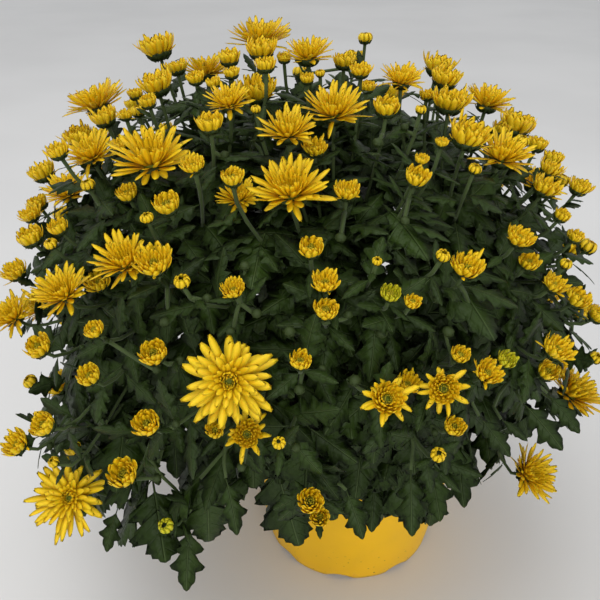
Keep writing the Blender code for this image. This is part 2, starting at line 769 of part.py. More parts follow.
def make_soil(folder):
    """Potting soil, with a plain hole for each stem."""
    low = CHANNEL_RISE + POT_WALL + FIT_GAP
    gap = POT_WALL + 2 * FIT_GAP
    outline = [
        (0, SOIL_TOP + SOIL_CROWN),
        (wall_radius(SOIL_TOP) - gap, SOIL_TOP),
        (wall_radius(low) - gap, low),
        (0, low),
    ]
    soil = turned_solid("soil", outline, folder, "soil")
    cutters = collection("soil_cutters")
    for stem in range(OUTER_STEMS + 1):
        place = Matrix.Translation(root_of(stem) + UP * SOIL_TOP)
        add_cylinder(
            cutters, f"hole_{stem + 1}", STEM_HOLE_RADIUS, 2 * PLANTING_DEPTH, place, STEM_HOLE_SIDES
        )
    cut_by(soil, cutters)


def add_main_stem(folder, name, stem):
    foot = SOIL_TOP - PLANTING_DEPTH + 3 * FIT_GAP
    depth = CORE_FOOT + MAIN_STEM_SUNK - foot
    place = Matrix.Translation(root_of(stem) + UP * (foot + depth / 2))
    return add_cylinder(folder, name, MAIN_STEM_RADIUS, depth, place, MAIN_STEM_SIDES)


def ring(bm, place, sides, size, profile, shift=0.0):
    """Points in a circle round the local Z axis. shift turns it by that share of a side."""
    radius, height = size * profile[0], size * profile[1]
    step = 2 * math.pi / sides
    angles = [(k + shift) * step for k in range(sides)]
    return [bm.verts.new(place @ Vector((radius * math.cos(a), radius * math.sin(a), height))) for a in angles]


def joined_to_point(bm, loop, point):
    for a, b in zip(loop, loop[1:] + loop[:1]):
        bm.faces.new((point, a, b))


def joined_level(bm, low, high):
    """Joins two rings with as many points each."""
    for k, corner in enumerate(low):
        n = (k + 1) % len(low)
        bm.faces.new((corner, low[n], high[k]))
        bm.faces.new((low[n], high[n], high[k]))


def joined_half_step(bm, low, even, odd):
    """Joins a ring to a jagged one, whose even points stand over it and odd points between them."""
    for k, corner in enumerate(low):
        n = (k + 1) % len(low)
        bm.faces.new((corner, even[k], odd[k]))
        bm.faces.new((corner, odd[k], low[n]))
        bm.faces.new((low[n], odd[k], even[n]))


def jagged(even, odd):
    return [point for pair in zip(even, odd) for point in pair]


def head_turn(head):
    u, v = side_axes(head.facing)
    frame = Matrix((u, v, head.facing)).transposed().to_4x4()
    return frame @ Matrix.Rotation(head.turn, 4, "Z")


def head_matrix(head):
    return Matrix.Translation(head.base) @ head_turn(head)


def stalk_ring(bm, head, sides):
    """A stalk that widens from a point in the core to the foot of its head. Returns its last ring."""
    run = head.base - head.fork
    place = Matrix.Translation(head.base - run.normalized() * 2 * STALK_RADIUS) @ head_turn(head)
    end = ring(bm, place, sides, STALK_RADIUS, (1, 0))
    joined_to_point(bm, end, bm.verts.new(head.fork))
    return end


def on_axis(bm, head, height):
    """A point on the head's own axis, as a share of its radius above its base."""
    return bm.verts.new(head.base + head.facing * (head.radius * height))


def add_open_head(folder, name, head):
    """A spread layer of petals and a raised layer between them, round a sunk eye."""
    bm = bmesh.new()
    place = head_matrix(head)
    tips = ring(bm, place, OPEN_PETALS, head.radius, OPEN_TIP)
    valleys = ring(bm, place, OPEN_PETALS, head.radius, OPEN_VALLEY, 0.5)
    throat = ring(bm, place, OPEN_PETALS, head.radius, OPEN_THROAT)
    inner_valleys = ring(bm, place, OPEN_PETALS, head.radius, INNER_VALLEY)
    inner_tips = ring(bm, place, OPEN_PETALS, head.radius, INNER_TIP, 0.5)
    joined_to_point(bm, jagged(tips, valleys), on_axis(bm, head, 0))
    joined_half_step(bm, throat, tips, valleys)
    joined_half_step(bm, throat, inner_valleys, inner_tips)
    joined_to_point(bm, jagged(inner_valleys, inner_tips), on_axis(bm, head, OPEN_EYE))
    return add_object(name, bm, folder)


def add_half_head(folder, name, head, petals=SMALL_PETALS, stalk=True):
    """A cup of upright petals, each with a tip, round a sunk floor. It stands on its stalk or on its foot."""
    bm = bmesh.new()
    place = head_matrix(head)
    belly = ring(bm, place, petals, head.radius, HALF_BELLY)
    tips = ring(bm, place, petals, head.radius, HALF_TIP)
    valleys = ring(bm, place, petals, head.radius, HALF_VALLEY, 0.5)
    if stalk:
        joined_level(bm, stalk_ring(bm, head, petals), belly)
    else:
        joined_to_point(bm, belly, on_axis(bm, head, 0))
    joined_half_step(bm, belly, tips, valleys)
    joined_to_point(bm, jagged(tips, valleys), on_axis(bm, head, HALF_FLOOR))
    return add_object(name, bm, folder)


def add_cup_head(folder, name, head):
    """A round cup of close petals with a sunk middle, on its stalk."""
    bm = bmesh.new()
    place = head_matrix(head)
    belly = ring(bm, place, SMALL_PETALS, head.radius, CUP_BELLY)
    rim = ring(bm, place, SMALL_PETALS, head.radius, CUP_RIM, 0.5)
    joined_level(bm, stalk_ring(bm, head, SMALL_PETALS), belly)
    joined_level(bm, belly, rim)
    joined_to_point(bm, rim, on_axis(bm, head, CUP_FLOOR))
    return add_object(name, bm, folder)


def add_bud_head(folder, name, head):
    """A closed bud on its stalk."""
    bm = bmesh.new()
    belly = ring(bm, head_matrix(head), BUD_SIDES, head.radius, BUD_BELLY)
    joined_level(bm, stalk_ring(bm, head, BUD_SIDES), belly)
    joined_to_point(bm, belly, on_axis(bm, head, BUD_TIP))
    return add_object(name, bm, folder)


def add_calyx(folder, name, head):
    """The stalk of a head that is a solid of its own, widened to the green cup under it."""
    bm = bmesh.new()
    place = head_matrix(head) @ Matrix.Translation((0, 0, -2 * FIT_GAP))
    cup = ring(bm, place, SMALL_PETALS, head.radius, (CALYX_SHARE, 0))
    joined_level(bm, stalk_ring(bm, head, SMALL_PETALS), cup)
    bm.faces.new(cup)
    return add_object(name, bm, folder)


SMALL_HEAD_MAKERS = {"half": add_half_head, "cup": add_cup_head, "bud": add_bud_head}


def add_leaf(folder, name, leaf):
    """A lobed blade with sharp edges: both faces are split alike, and meet along the outline."""
    bm = bmesh.new()
    rim = [bm.verts.new(p) for p in leaf.outline()]
    tip = len(LEAF_HALF_OUTLINE) + 1
    for side in (0.5, -0.5):
        low, high = (bm.verts.new(leaf.point(x, 0, side * LEAF_THICKNESS)) for x in LEAF_RIB)
        for edge in (rim, [rim[0], *reversed(rim[1:])]):
            for k in range(LEAF_NOTCH):
                bm.faces.new((low, edge[k], edge[k + 1]))
            bm.faces.new((low, edge[LEAF_NOTCH], high))
            for k in range(LEAF_NOTCH, tip):
                bm.faces.new((high, edge[k], edge[k + 1]))
    return add_object(name, bm, folder)


def add_shoot(folder, name, start, end):
    """A bare shoot that narrows outwards and carries a leaf at its end."""
    run = end - start
    bm = bmesh.new()
    place = Matrix.Translation((start + end) / 2) @ run.to_track_quat("Z", "Y").to_matrix().to_4x4()
    thick, thin = SHOOT_RADII
    bmesh.ops.create_cone(
        bm, cap_ends=True, segments=3, radius1=thick, radius2=thin, depth=run.length, matrix=place
    )
    return add_object(name, bm, folder)


def make_core(name, stem, folder):
    """The dense middle of one stem's foliage, which its leaves and stalks stand out of."""
    bm = bmesh.new()
    for corner in CORES[stem]:
        bm.verts.new(corner)
    hull = bmesh.ops.convex_hull(bm, input=bm.verts)
    spare = {v for v in hull["geom_interior"] + hull["geom_unused"] if isinstance(v, bmesh.types.BMVert)}
    bmesh.ops.delete(bm, geom=list(spare), context="VERTS")
    return add_object(name, bm, folder)


def make_leafy_stem(stem, heads, leaves, shoots, own_node, folder):
    name = f"leafy_stem_{stem + 1}"
    pieces = collection(name + "_pieces")
    add_main_stem(pieces, name + "_main", stem)
    for k, head in enumerate(heads):
        if head.stem == stem and head in own_node:
            add_calyx(pieces, f"{name}_calyx_{k}", head)
        elif head.stem == stem:
            SMALL_HEAD_MAKERS[head.kind](pieces, f"{name}_head_{k}", head)
    for k, leaf in enumerate(leaves):
        if leaf.stem == stem:
            add_leaf(pieces, f"{name}_leaf_{k}", leaf)
    for k, (start, end, leaf) in enumerate(shoots):
        if leaf.stem == stem:
            add_shoot(pieces, f"{name}_shoot_{k}", start, end)
    fused(name, make_core(name + "_core", stem, folder), pieces, folder, "leaf")


def make_head_node(number, head, folder):
    name = f"flower_head_{number:02d}"
    if head.kind == "open":
        made = add_open_head(folder, name, head)
    else:
        made = add_half_head(folder, name, head, HALF_PETALS, False)
    made.data.materials.append(material("petal"))


def main():
    for obj in list(bpy.data.objects):
        bpy.data.objects.remove(obj)
    folder = collection("pot_chrysanthemum")
    make_pot(folder)
    make_soil(folder)
    heads = all_heads()
    large = sorted((h for h in heads if h.kind in ("open", "half")), key=lambda h: -h.radius)
    own_node = large[:MOST_HEAD_NODES]
    leaves = []
    shoots = low_shoots(heads, leaves)
    canopy_leaves(heads, leaves)
    for stem in range(OUTER_STEMS + 1):
        make_leafy_stem(stem, heads, leaves, shoots, own_node, folder)
    for number, head in enumerate(own_node, 1):
        make_head_node(number, head, folder)
    print(f"{len(heads)} heads, {len(own_node)} with a node, {len(leaves)} leaves, {len(shoots)} on low shoots")


if __name__ == "__main__":
    main()
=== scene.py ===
"""Pot chrysanthemum: a dome of yellow flower heads over dark lobed leaves, in a round plastic pot.

Metres, +Z up, origin at the centre of the pot's foot. The photographed side faces -Y.
The plant's layout is that of its solids. Each solid is replaced by finer pieces that keep its form.
"""

import functools
import json
import math
import random
from collections import namedtuple

import bpy
import numpy as np
from mathutils import Matrix, Vector, noise

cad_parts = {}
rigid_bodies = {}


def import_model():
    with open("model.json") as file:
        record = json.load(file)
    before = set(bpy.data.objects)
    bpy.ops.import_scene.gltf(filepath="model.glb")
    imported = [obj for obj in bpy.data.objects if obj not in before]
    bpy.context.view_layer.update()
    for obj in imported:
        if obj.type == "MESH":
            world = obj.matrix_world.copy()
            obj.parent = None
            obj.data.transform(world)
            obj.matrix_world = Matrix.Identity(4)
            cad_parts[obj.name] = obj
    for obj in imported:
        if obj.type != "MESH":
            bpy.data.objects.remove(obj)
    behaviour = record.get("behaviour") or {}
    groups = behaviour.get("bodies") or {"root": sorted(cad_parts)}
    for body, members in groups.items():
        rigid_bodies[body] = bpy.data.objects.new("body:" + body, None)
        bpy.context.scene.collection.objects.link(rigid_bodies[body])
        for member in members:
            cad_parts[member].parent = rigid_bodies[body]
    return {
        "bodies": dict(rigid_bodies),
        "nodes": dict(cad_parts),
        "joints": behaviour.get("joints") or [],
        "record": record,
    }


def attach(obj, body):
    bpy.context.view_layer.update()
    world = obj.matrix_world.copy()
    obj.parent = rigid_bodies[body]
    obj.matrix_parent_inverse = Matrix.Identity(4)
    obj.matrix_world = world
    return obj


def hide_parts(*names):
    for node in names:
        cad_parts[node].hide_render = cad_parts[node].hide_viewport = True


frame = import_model()

bl_info = {
    "name": "Pot chrysanthemum",
    "version": (1, 0, 0),
    "blender": (4, 5, 0),
    "location": "View3D > Sidebar > Plant",
    "description": "Builds a pot chrysanthemum piece by piece",
    "category": "Add Mesh",
}

BODY = "root"
UP = Vector((0, 0, 1))
NEARLY_UPRIGHT = 0.9

# Pot: a flat foot in the middle, a raised channel round it, and a foot ring with arches that drain it
POT_HEIGHT = 0.140
POT_MOUTH_RADIUS = 0.093
POT_FOOT_RADIUS = 0.070
POT_WALL = 0.0022
RIM_HEIGHT = 0.016
RIM_OVERHANG = 0.003
MIDDLE_FOOT_RADIUS = 0.040
CHANNEL_RISE = 0.006
NOTCHES = 9
FIRST_NOTCH = math.radians(-59)
NOTCH_WIDTH = 0.024
NOTCH_RISE = 0.004
DRAIN_HOLES = 4
DRAIN_RADIUS = 0.005
DRAIN_CIRCLE = 0.054
CUTTER_DEPTH = 0.02

# Soil, with a hole for each stem
SOIL_TOP = 0.127
SOIL_CROWN = 0.004
PLANTING_DEPTH = 0.030
FIT_GAP = 0.0003

# Dome of flower heads, and the stems under it: six round the plant's axis and one on it
DOME_CENTRE = Vector((-0.040, 0.0, 0.222))
DOME_RADIUS = 0.200
DOME_RISE = 0.185
PLANT_AXIS = Vector((-0.020, 0.0, 0.0))
OUTER_STEMS = 6
ROOT_CIRCLE = 0.054
MIDDLE_APOTHEM = 0.042
PARTS_THAT_MEET = 3
STEM_GAP = 0.0008
MAIN_STEM_RADIUS = 0.0042
CORE_SHARE = 0.70
CORE_FOOT = 0.146
CORE_LEVELS = (-0.50, 0.05, 0.55, 0.84)

# Where the photograph was taken from, to place what it shows
EYE = Vector((-0.043, -0.452, 0.480))
EYE_PITCH = math.radians(29.8)
PHOTO_FOCAL_PX = 700.0
PHOTO_CENTRE_PX = 300.0

# Flower heads in the photograph: centre and width in pixels, and for the open ones how far each is
# turned from the way it grows towards the eye
OPEN_HEADS = (
    (149, 156, 88, 0.2), (288, 128, 66, 0.1), (334, 108, 72, 0.1), (290, 188, 84, 0.1),
    (229, 380, 105, 0.9), (122, 260, 70, 0.2), (60, 292, 64, 0.2), (68, 497, 80, 0.6),
    (388, 398, 62, 0.3), (444, 388, 56, 0.8), (505, 153, 66, 0.1), (88, 152, 60, 0.2),
    (66, 190, 56, 0.2), (10, 315, 52, 0.2), (308, 52, 56, 0.0), (228, 100, 52, 0.1),
    (489, 99, 56, 0.0), (247, 434, 52, 0.8), (238, 195, 52, 0.1), (398, 78, 48, 0.0),
)
HALF_HEADS = (
    (256, 88, 44), (158, 264, 40), (451, 99, 40), (471, 133, 44), (155, 82, 38),
    (261, 47, 34), (447, 76, 34), (468, 266, 36), (559, 349, 34), (489, 373, 30),
    (408, 384, 28), (97, 282, 32), (103, 116, 30), (77, 135, 32), (56, 150, 22),
    (41, 171, 30), (176, 66, 26), (325, 282, 30), (347, 190, 30), (548, 186, 32),
    (552, 168, 26), (521, 237, 30), (14, 445, 30), (556, 284, 26), (581, 186, 26),
    (13, 271, 28), (361, 69, 24), (315, 147, 28), (233, 289, 26), (195, 165, 26),
    (29, 214, 24), (427, 94, 18), (125, 114, 18), (119, 144, 20),
)
CUP_HEADS = (
    (147, 101, 18), (135, 93, 17), (126, 193, 22), (166, 204, 27), (195, 77, 18),
    (229, 56, 22), (231, 72, 16), (268, 64, 19), (284, 57, 15), (344, 60, 22),
    (307, 78, 15), (368, 86, 17), (387, 106, 26), (213, 82, 15), (209, 122, 26),
    (232, 177, 22), (502, 128, 19), (442, 142, 13), (422, 159, 14), (418, 177, 25),
    (538, 143, 20), (554, 157, 19), (29, 236, 26), (57, 227, 20), (37, 347, 26),
    (93, 330, 20), (150, 353, 28), (88, 376, 24), (311, 248, 25), (326, 310, 24),
    (391, 294, 20), (301, 361, 22), (563, 215, 17), (576, 236, 17), (530, 262, 22),
    (579, 298, 25), (599, 315, 20), (413, 302, 17), (549, 372, 23), (461, 355, 20),
    (508, 360, 20), (41, 426, 24), (144, 424, 28), (122, 475, 30), (215, 431, 20),
    (311, 502, 26), (320, 518, 20), (455, 427, 22), (135, 277, 18),
)
BUD_HEADS = (
    (138, 112, 14), (88, 186, 13), (320, 74, 9), (256, 110, 9), (424, 110, 10),
    (475, 170, 12), (51, 245, 12), (147, 219, 12), (182, 283, 15), (377, 262, 9),
    (443, 257, 13), (566, 265, 11), (522, 142, 13), (166, 527, 14), (279, 444, 12),
    (438, 456, 14), (596, 359, 12), (54, 463, 10),
)
# Lower edge of the foliage in the photograph, in pixels: no leaf hangs below it
SKIRT_LINE = (
    (-60, 380), (20, 452), (60, 515), (105, 553), (150, 556), (190, 598), (215, 550),
    (240, 524), (270, 530), (292, 557), (328, 540), (360, 532), (400, 541), (440, 528),
    (490, 484), (545, 446), (590, 425), (660, 360),
)

# Heads on the side away from the photograph, spread by the golden angle
FAR_LATTICE = 100
FAR_LOWEST = -0.42
FAR_KINDS = (("open", 0.20), ("half", 0.44), ("cup", 0.84), ("bud", 1.0))
FAR_DIAMETERS = {"open": 0.044, "half": 0.026, "cup": 0.015, "bud": 0.010}
FAR_SIZES = (0.85, 1.15)
FAR_JITTER = 0.12
FAR_FACING = 0.02
GOLDEN_ANGLE = math.radians(137.508)

# Heads: how they grow, and the room that each takes, in shares of its radius or depth
UPWARD_LEAN = 1.15
STRAY_LEAN = 0.20
HEAD_DEPTHS = {"open": 0.62, "half": 1.10, "cup": 1.30, "bud": 1.3}
HEAD_MIDDLE = 0.55
HEAD_HALF_DEPTH = 0.62
HEAD_WIDTH = 1.03
HEAD_TEST_RINGS = ((1.0, 0.55), (0.75, 1.0), (0.75, 0.15), (0.4, 1.0), (0.5, 0.0))
HEAD_TEST_SIDES = 12
HEAD_MARGIN = 0.0035
HEADS_NEAR = 0.02
LIFT_STEPS = (1.0, 0.96, 1.04, 0.92, 1.08, 0.88, 0.84, 1.12, 0.80, 0.76)
HEAD_CLEARANCE = 0.0012
MOST_HEAD_NODES = 50

# Seeds of the random draws
SEED = 19
CANOPY_SEED = SEED + 1
SHOOT_SEED = SEED + 2
STALK_LEAF_SEED = SEED + 3
GREEN_BUD_SEED = SEED + 4
SHOOT_LEAF_SEED = SEED + 5
FILL_SEED = SEED + 6
CRUMB_SEED = SEED + 6
SPRAY_SEED = SEED + 7

# Stalks
STALK_RADIUS = 0.0015
STALK_CLEARANCE = 0.0006
STALK_TESTED = (0.25, 0.95)
STALK_TEST_POINTS = 15
FORK_MARGIN = 0.004
FORK_SHARE = 0.25
FORK_REACH = 0.018
FORK_SHIFTS = (
    (0, 0, 0), (0, 0, 1), (0, 0, -1), (1, 0, 0), (-1, 0, 0), (0, 1, 0), (0, -1, 0), (1, 1, 0), (-1, 1, 0),
)

# Leaves
LEAF_LENGTHS = (0.046, 0.062)
SKIRT_LEAF_LENGTHS = (0.060, 0.076)
LEAF_HALF_OUTLINE = ((0.18, 0.022), (0.40, 0.29), (0.49, 0.14), (0.72, 0.29), (0.79, 0.12))
LEAF_RIB = (0.34, 0.66)
LEAF_ARCH = 0.16
LEAF_FOLD = 0.30
LEAF_FOLD_CURVE = 1.5
LEAF_CLEARANCE = 0.0018
LEAF_NEAR = 0.12
LEAF_CROWDED = 0.005
LEAF_LOWEST = 0.04
LEAF_TURNS = (0, 0.7, -0.7, 1.3, -1.3, 1.9, -1.9, 2.6, -2.6, 3.1)
POT_CLEARANCE = 0.004
OVER_SOIL = 0.020
CANOPY_LEAVES = 106
CANOPY_LOWEST = -0.40
CANOPY_FOOT_SHARE = 0.66
CANOPY_MARGIN = 0.006
CANOPY_FALL = 0.8
CANOPY_SPREADS = (math.radians(24), math.radians(50))
CANOPY_JITTER = 0.4
CANOPY_SIZES = (1.0, 0.85, 0.72)

# Low shoots with a hanging leaf each: round the foot of the dome, and close to the pot
SKIRT_SHOOTS = 30
SKIRT_JITTER = 0.08
SKIRT_SINES = (-0.50, -0.15)
SKIRT_REACH = (0.80, 0.92)
SKIRT_OUTWARD = (0.2, 0.9)
COLLAR_LEAF_LENGTHS = (0.040, 0.054)
COLLAR_SHOOTS = 20
COLLAR_PHASE = 0.2
COLLAR_JITTER = 0.1
COLLAR_REACH = 0.112
COLLAR_LIFT = (0.004, 0.012)
COLLAR_OUTWARD = (0.15, 0.5)
SHOOT_MARGIN = 0.012
SHOOT_START = 0.30
SHOOT_TRIES = 30
SHOOT_SHRINK = 0.012
SHOOT_STRAY = 0.6
SHOOT_FALL = (0.15, 1.1)
SHOOT_RADII = (0.0020, 0.0012)
LEAF_OVERLAP = 0.004

# Petals: rings of them, in shares of the head's radius, with the slopes of root and tip in degrees
PetalRing = namedtuple("PetalRing", "count root height length width start end cup uneven green")
BractRing = namedtuple("BractRing", PetalRing._fields[:-1])
FULL_RINGS = (
    PetalRing(14, 0.13, 0.06, 0.93, 0.190, 24, 2, 0.25, 0.20, 0),
    PetalRing(14, 0.13, 0.09, 0.87, 0.180, 34, 12, 0.25, 0.20, 0),
    PetalRing(13, 0.13, 0.12, 0.72, 0.165, 44, 22, 0.35, 0.20, 0),
    PetalRing(14, 0.13, 0.14, 0.56, 0.140, 54, 38, 0.45, 0.18, 0),
    PetalRing(15, 0.13, 0.16, 0.42, 0.110, 64, 62, 0.55, 0.14, 0),
    PetalRing(18, 0.14, 0.18, 0.28, 0.080, 70, 104, 0.60, 0.12, 0),
    PetalRing(16, 0.10, 0.18, 0.21, 0.065, 64, 116, 0.60, 0.12, 0),
    PetalRing(12, 0.06, 0.16, 0.12, 0.045, 75, 95, 0.60, 0.12, 1),
)
BOWL_RINGS = (
    PetalRing(7, 0.18, 0.02, 0.84, 0.180, 8, 10, 0.30, 0.30, 0),
    PetalRing(13, 0.17, 0.05, 0.92, 0.175, 20, 30, 0.30, 0.18, 0),
    PetalRing(15, 0.17, 0.07, 0.96, 0.165, 32, 46, 0.35, 0.16, 0),
    PetalRing(15, 0.16, 0.09, 0.88, 0.155, 42, 64, 0.40, 0.16, 0),
    PetalRing(15, 0.15, 0.11, 0.72, 0.140, 48, 84, 0.45, 0.14, 0),
    PetalRing(16, 0.14, 0.13, 0.56, 0.120, 52, 98, 0.45, 0.12, 0),
    PetalRing(16, 0.11, 0.14, 0.40, 0.090, 58, 106, 0.50, 0.12, 0),
    PetalRing(12, 0.06, 0.16, 0.18, 0.055, 75, 95, 0.60, 0.12, 1),
)
BASKET_RINGS = (
    PetalRing(7, 0.18, 0.02, 0.86, 0.200, 12, -16, 0.30, 0.32, 0),
    PetalRing(8, 0.18, 0.04, 0.92, 0.190, 26, 40, 0.35, 0.26, 0),
    PetalRing(14, 0.20, 0.05, 0.68, 0.220, 16, 92, 0.25, 0.10, 0),
    PetalRing(14, 0.19, 0.08, 0.62, 0.200, 22, 102, 0.30, 0.10, 0),
    PetalRing(16, 0.17, 0.11, 0.52, 0.150, 32, 110, 0.40, 0.10, 0),
    PetalRing(16, 0.13, 0.13, 0.40, 0.110, 46, 112, 0.50, 0.10, 0),
    PetalRing(12, 0.07, 0.15, 0.24, 0.065, 66, 100, 0.60, 0.12, 1),
)
HALF_RINGS = (
    PetalRing(3, 0.22, -0.02, 0.98, 0.220, 14, 28, 0.35, 0.35, 0),
    PetalRing(4, 0.26, 0.00, 1.38, 0.240, 34, 78, 0.35, 0.24, 0),
    PetalRing(12, 0.28, 0.00, 1.26, 0.400, 16, 90, 0.18, 0.12, 0),
    PetalRing(12, 0.26, 0.04, 1.18, 0.360, 22, 96, 0.20, 0.12, 0),
    PetalRing(12, 0.24, 0.08, 0.98, 0.300, 34, 102, 0.26, 0.12, 0),
    PetalRing(11, 0.18, 0.12, 0.68, 0.220, 46, 106, 0.35, 0.12, 0),
    PetalRing(9, 0.12, 0.15, 0.46, 0.150, 62, 98, 0.50, 0.12, 1),
    PetalRing(6, 0.05, 0.17, 0.42, 0.120, 78, 92, 0.50, 0.12, 1),
)
CUP_RINGS = (
    PetalRing(10, 0.40, -0.06, 1.44, 0.560, 28, 98, 0.16, 0.10, 0),
    PetalRing(10, 0.38, -0.02, 1.42, 0.540, 30, 104, 0.16, 0.10, 0),
    PetalRing(10, 0.34, 0.04, 1.26, 0.480, 36, 108, 0.20, 0.10, 0),
    PetalRing(9, 0.26, 0.12, 0.92, 0.360, 46, 110, 0.30, 0.10, 0),
    PetalRing(8, 0.18, 0.18, 0.68, 0.260, 58, 106, 0.40, 0.12, 1),
    PetalRing(6, 0.08, 0.22, 0.60, 0.220, 74, 96, 0.50, 0.12, 1),
)
BUD_RINGS = (
    PetalRing(8, 0.30, 0.10, 2.20, 0.820, -2, 162, 0.22, 0.03, 0),
    PetalRing(8, 0.22, 0.16, 2.05, 0.640, 4, 168, 0.26, 0.03, 0),
)
RINGS = {
    "open": FULL_RINGS, "bowl": BOWL_RINGS, "basket": BASKET_RINGS,
    "half": HALF_RINGS, "cup": CUP_RINGS, "bud": BUD_RINGS,
}
BASKET_RADIUS = 0.0195
BASKET_WITHIN = math.cos(math.radians(44))
FLAT_WITHIN = math.cos(math.radians(24))
FINE_LEAN = 0.35
HEART_OUTLINE = ((0, 0.02), (0.20, 0.05), (0.24, 0.14), (0.17, 0.21), (0, 0.17))

# One petal: rows and columns of its points, its outline, and how far petals stray from each other
PETAL_SHAPES = {
    "open": (8, 3), "bowl": (7, 3), "basket": (6, 3), "half": (6, 3), "cup": (6, 3), "bud": (6, 3),
}
PETAL_THICKNESS = 0.00045
PETAL_ROW_SPACING = 0.75
PETAL_ROOT_WIDTH = 0.50
PETAL_WIDE_AT = 0.55
PETAL_TIP_FROM = 0.60
PETAL_TIP_CURVE = 2.8
PETAL_TIP_BLUNTNESS = 0.62
PETAL_TIP_WIDTH = 0.36
PETAL_DROOP = 0.05
PETAL_GROOVES = 0.06
PETAL_GROOVE_WAVE = 2.6
PETAL_STAGGER = 0.025
PETAL_TWIST = 0.14
PETAL_NOTCH = 0.012
PETAL_NOTCH_CURVE = 8
PETAL_LEAST_STRAY = 0.08
PETAL_STRAY = 1.2
PETAL_MOST_STRAY = 0.28
PETAL_LENGTHS = (-1.4, 0.6)
PETAL_WIDTHS = (0.85, 1.12)
PETAL_ROOT_STRAY = (0.01, 0.35)
PETAL_TIP_STRAY = (0.02, 0.80)
PETAL_SIDE_BEND = 0.3

# Lightness of the heads, and where the photograph shows heads that are still lime green, in pixels
MICROMETRES = 1e6
HEAD_TINTS = (0.2, 0.8)
PETAL_TINT_STRAY = 0.15
MOST_TINT = 0.9
YOUNG_TINT = 2.0
YOUNG_PETAL = (0.50, 0.52, 0.012)
YOUNG_HEADS = ((390, 295), (508, 360), (165, 527))

# Green cups under the heads: outlines as (radius, height) in shares of the head's radius, and their bracts
CALYX_OUTLINES = {
    "open": ((0.05, -0.20), (0.16, -0.16), (0.30, -0.05), (0.37, 0.08), (0.24, 0.12)),
    "half": ((0.09, -0.26), (0.34, -0.20), (0.54, -0.03), (0.68, 0.19), (0.52, 0.22)),
    "cup": ((0.14, -0.30), (0.46, -0.23), (0.68, -0.05), (0.82, 0.22), (0.62, 0.26)),
    "bud": ((0.25, -0.20), (0.70, 0.02), (0.97, 0.50), (1.00, 0.80), (0.70, 0.90)),
}
BRACT_RINGS = {
    "open": (
        BractRing(13, 0.14, -0.18, 0.30, 0.13, 10, 52, -0.3, 0.1),
        BractRing(13, 0.22, -0.12, 0.28, 0.13, 24, 62, -0.3, 0.1),
    ),
    "half": (
        BractRing(11, 0.30, -0.23, 0.60, 0.24, 20, 64, -0.3, 0.1),
        BractRing(11, 0.45, -0.13, 0.50, 0.24, 34, 74, -0.3, 0.1),
    ),
    "cup": (
        BractRing(10, 0.42, -0.26, 0.72, 0.32, 24, 74, -0.3, 0.1),
        BractRing(10, 0.61, -0.14, 0.54, 0.32, 38, 80, -0.3, 0.1),
    ),
    "bud": (
        BractRing(8, 0.62, 0.00, 1.05, 0.55, 34, 98, -0.3, 0.1),
        BractRing(8, 0.80, 0.20, 0.95, 0.50, 52, 112, -0.3, 0.1),
    ),
}
BRACT_SHAPE = (3, 3)
BRACT_FULLNESS = 1.02
BRACT_CURVE = 0.6
CALYX_SIDES = 10

# Small green buds on side stalks: centres in the photograph in pixels, and more on the far side
GREEN_BUDS = (
    (377, 146), (225, 157), (404, 129), (106, 217), (166, 324), (181, 362), (158, 371),
    (257, 315), (290, 333), (231, 333), (348, 316), (322, 370), (245, 268), (381, 334),
    (299, 391), (354, 382), (436, 301), (447, 333), (404, 223), (52, 447), (54, 470), (177, 425),
    (158, 478), (133, 502), (296, 448), (242, 467), (434, 433), (208, 300), (340, 240), (480, 320),
)
GREEN_BUD_RADIUS = 0.0024
GREEN_BUD_SHARE = 0.93
GREEN_BUD_SIZES = (0.8, 1.25)
GREEN_BUD_HEIGHT = 1.5
GREEN_BUD_OUTLINE = ((0, -0.1), (0.6, 0.1), (0.95, 0.6), (0.85, 1.1), (0.45, 1.4), (0, GREEN_BUD_HEIGHT))
GREEN_BUD_SIDES = 9
FAR_GREEN_BUDS = 44
FAR_GREEN_BUD_PHASE = 0.7

# Fine leaves: half of the outline as (along the rib, across it) in shares of the length
LEAF_EDGE = (
    (0.000, 0.011), (0.150, 0.013), (0.190, 0.041), (0.220, 0.116), (0.270, 0.215), (0.310, 0.220),
    (0.345, 0.304), (0.400, 0.304), (0.425, 0.331), (0.455, 0.273), (0.475, 0.174), (0.530, 0.191),
    (0.575, 0.273), (0.620, 0.278), (0.665, 0.342), (0.700, 0.304), (0.735, 0.313), (0.745, 0.232),
    (0.755, 0.157), (0.810, 0.174), (0.850, 0.191), (0.875, 0.133), (0.925, 0.128), (0.945, 0.070),
    (0.985, 0.052), (1.000, 0.006),
)
MIDDLE_LEAF_EDGE = (
    (0.000, 0.012), (0.130, 0.014), (0.200, 0.067), (0.300, 0.190), (0.370, 0.252), (0.420, 0.213),
    (0.455, 0.123), (0.550, 0.185), (0.630, 0.280), (0.685, 0.241), (0.720, 0.134), (0.800, 0.140),
    (0.860, 0.129), (0.920, 0.073), (0.970, 0.045), (1.000, 0.006),
)
SMALL_LEAF_EDGE = (
    (0.00, 0.014), (0.10, 0.018), (0.28, 0.10), (0.44, 0.17), (0.50, 0.125), (0.64, 0.17), (0.72, 0.115),
    (0.84, 0.10), (0.94, 0.045), (1.00, 0.006),
)
MIDDLE_LEAF_BELOW = 0.044
SMALL_LEAF_BELOW = 0.021
LEAF_SKIN = 0.0005
LEAF_VEIN_SLOPE = 0.75
LEAST_RIB_STEP = 0.004
LEAF_LOBE_WIDTHS = (0.90, 1.12)
LEAF_ARCHES = (0.8, 1.5)
LEAF_FOLDS = (0.5, 1.3)
LEAF_EDGE_WAVE = 0.060
LEAF_WAVE_STARTS = (0, 6.3)
LEAF_WAVE_RATES = (12, 18)
LEAF_SIDE_BEND = 0.05
LEAF_PUFF = 0.010
LEAF_PUFF_SLOPE = 18
LEAF_TINT = 0.5
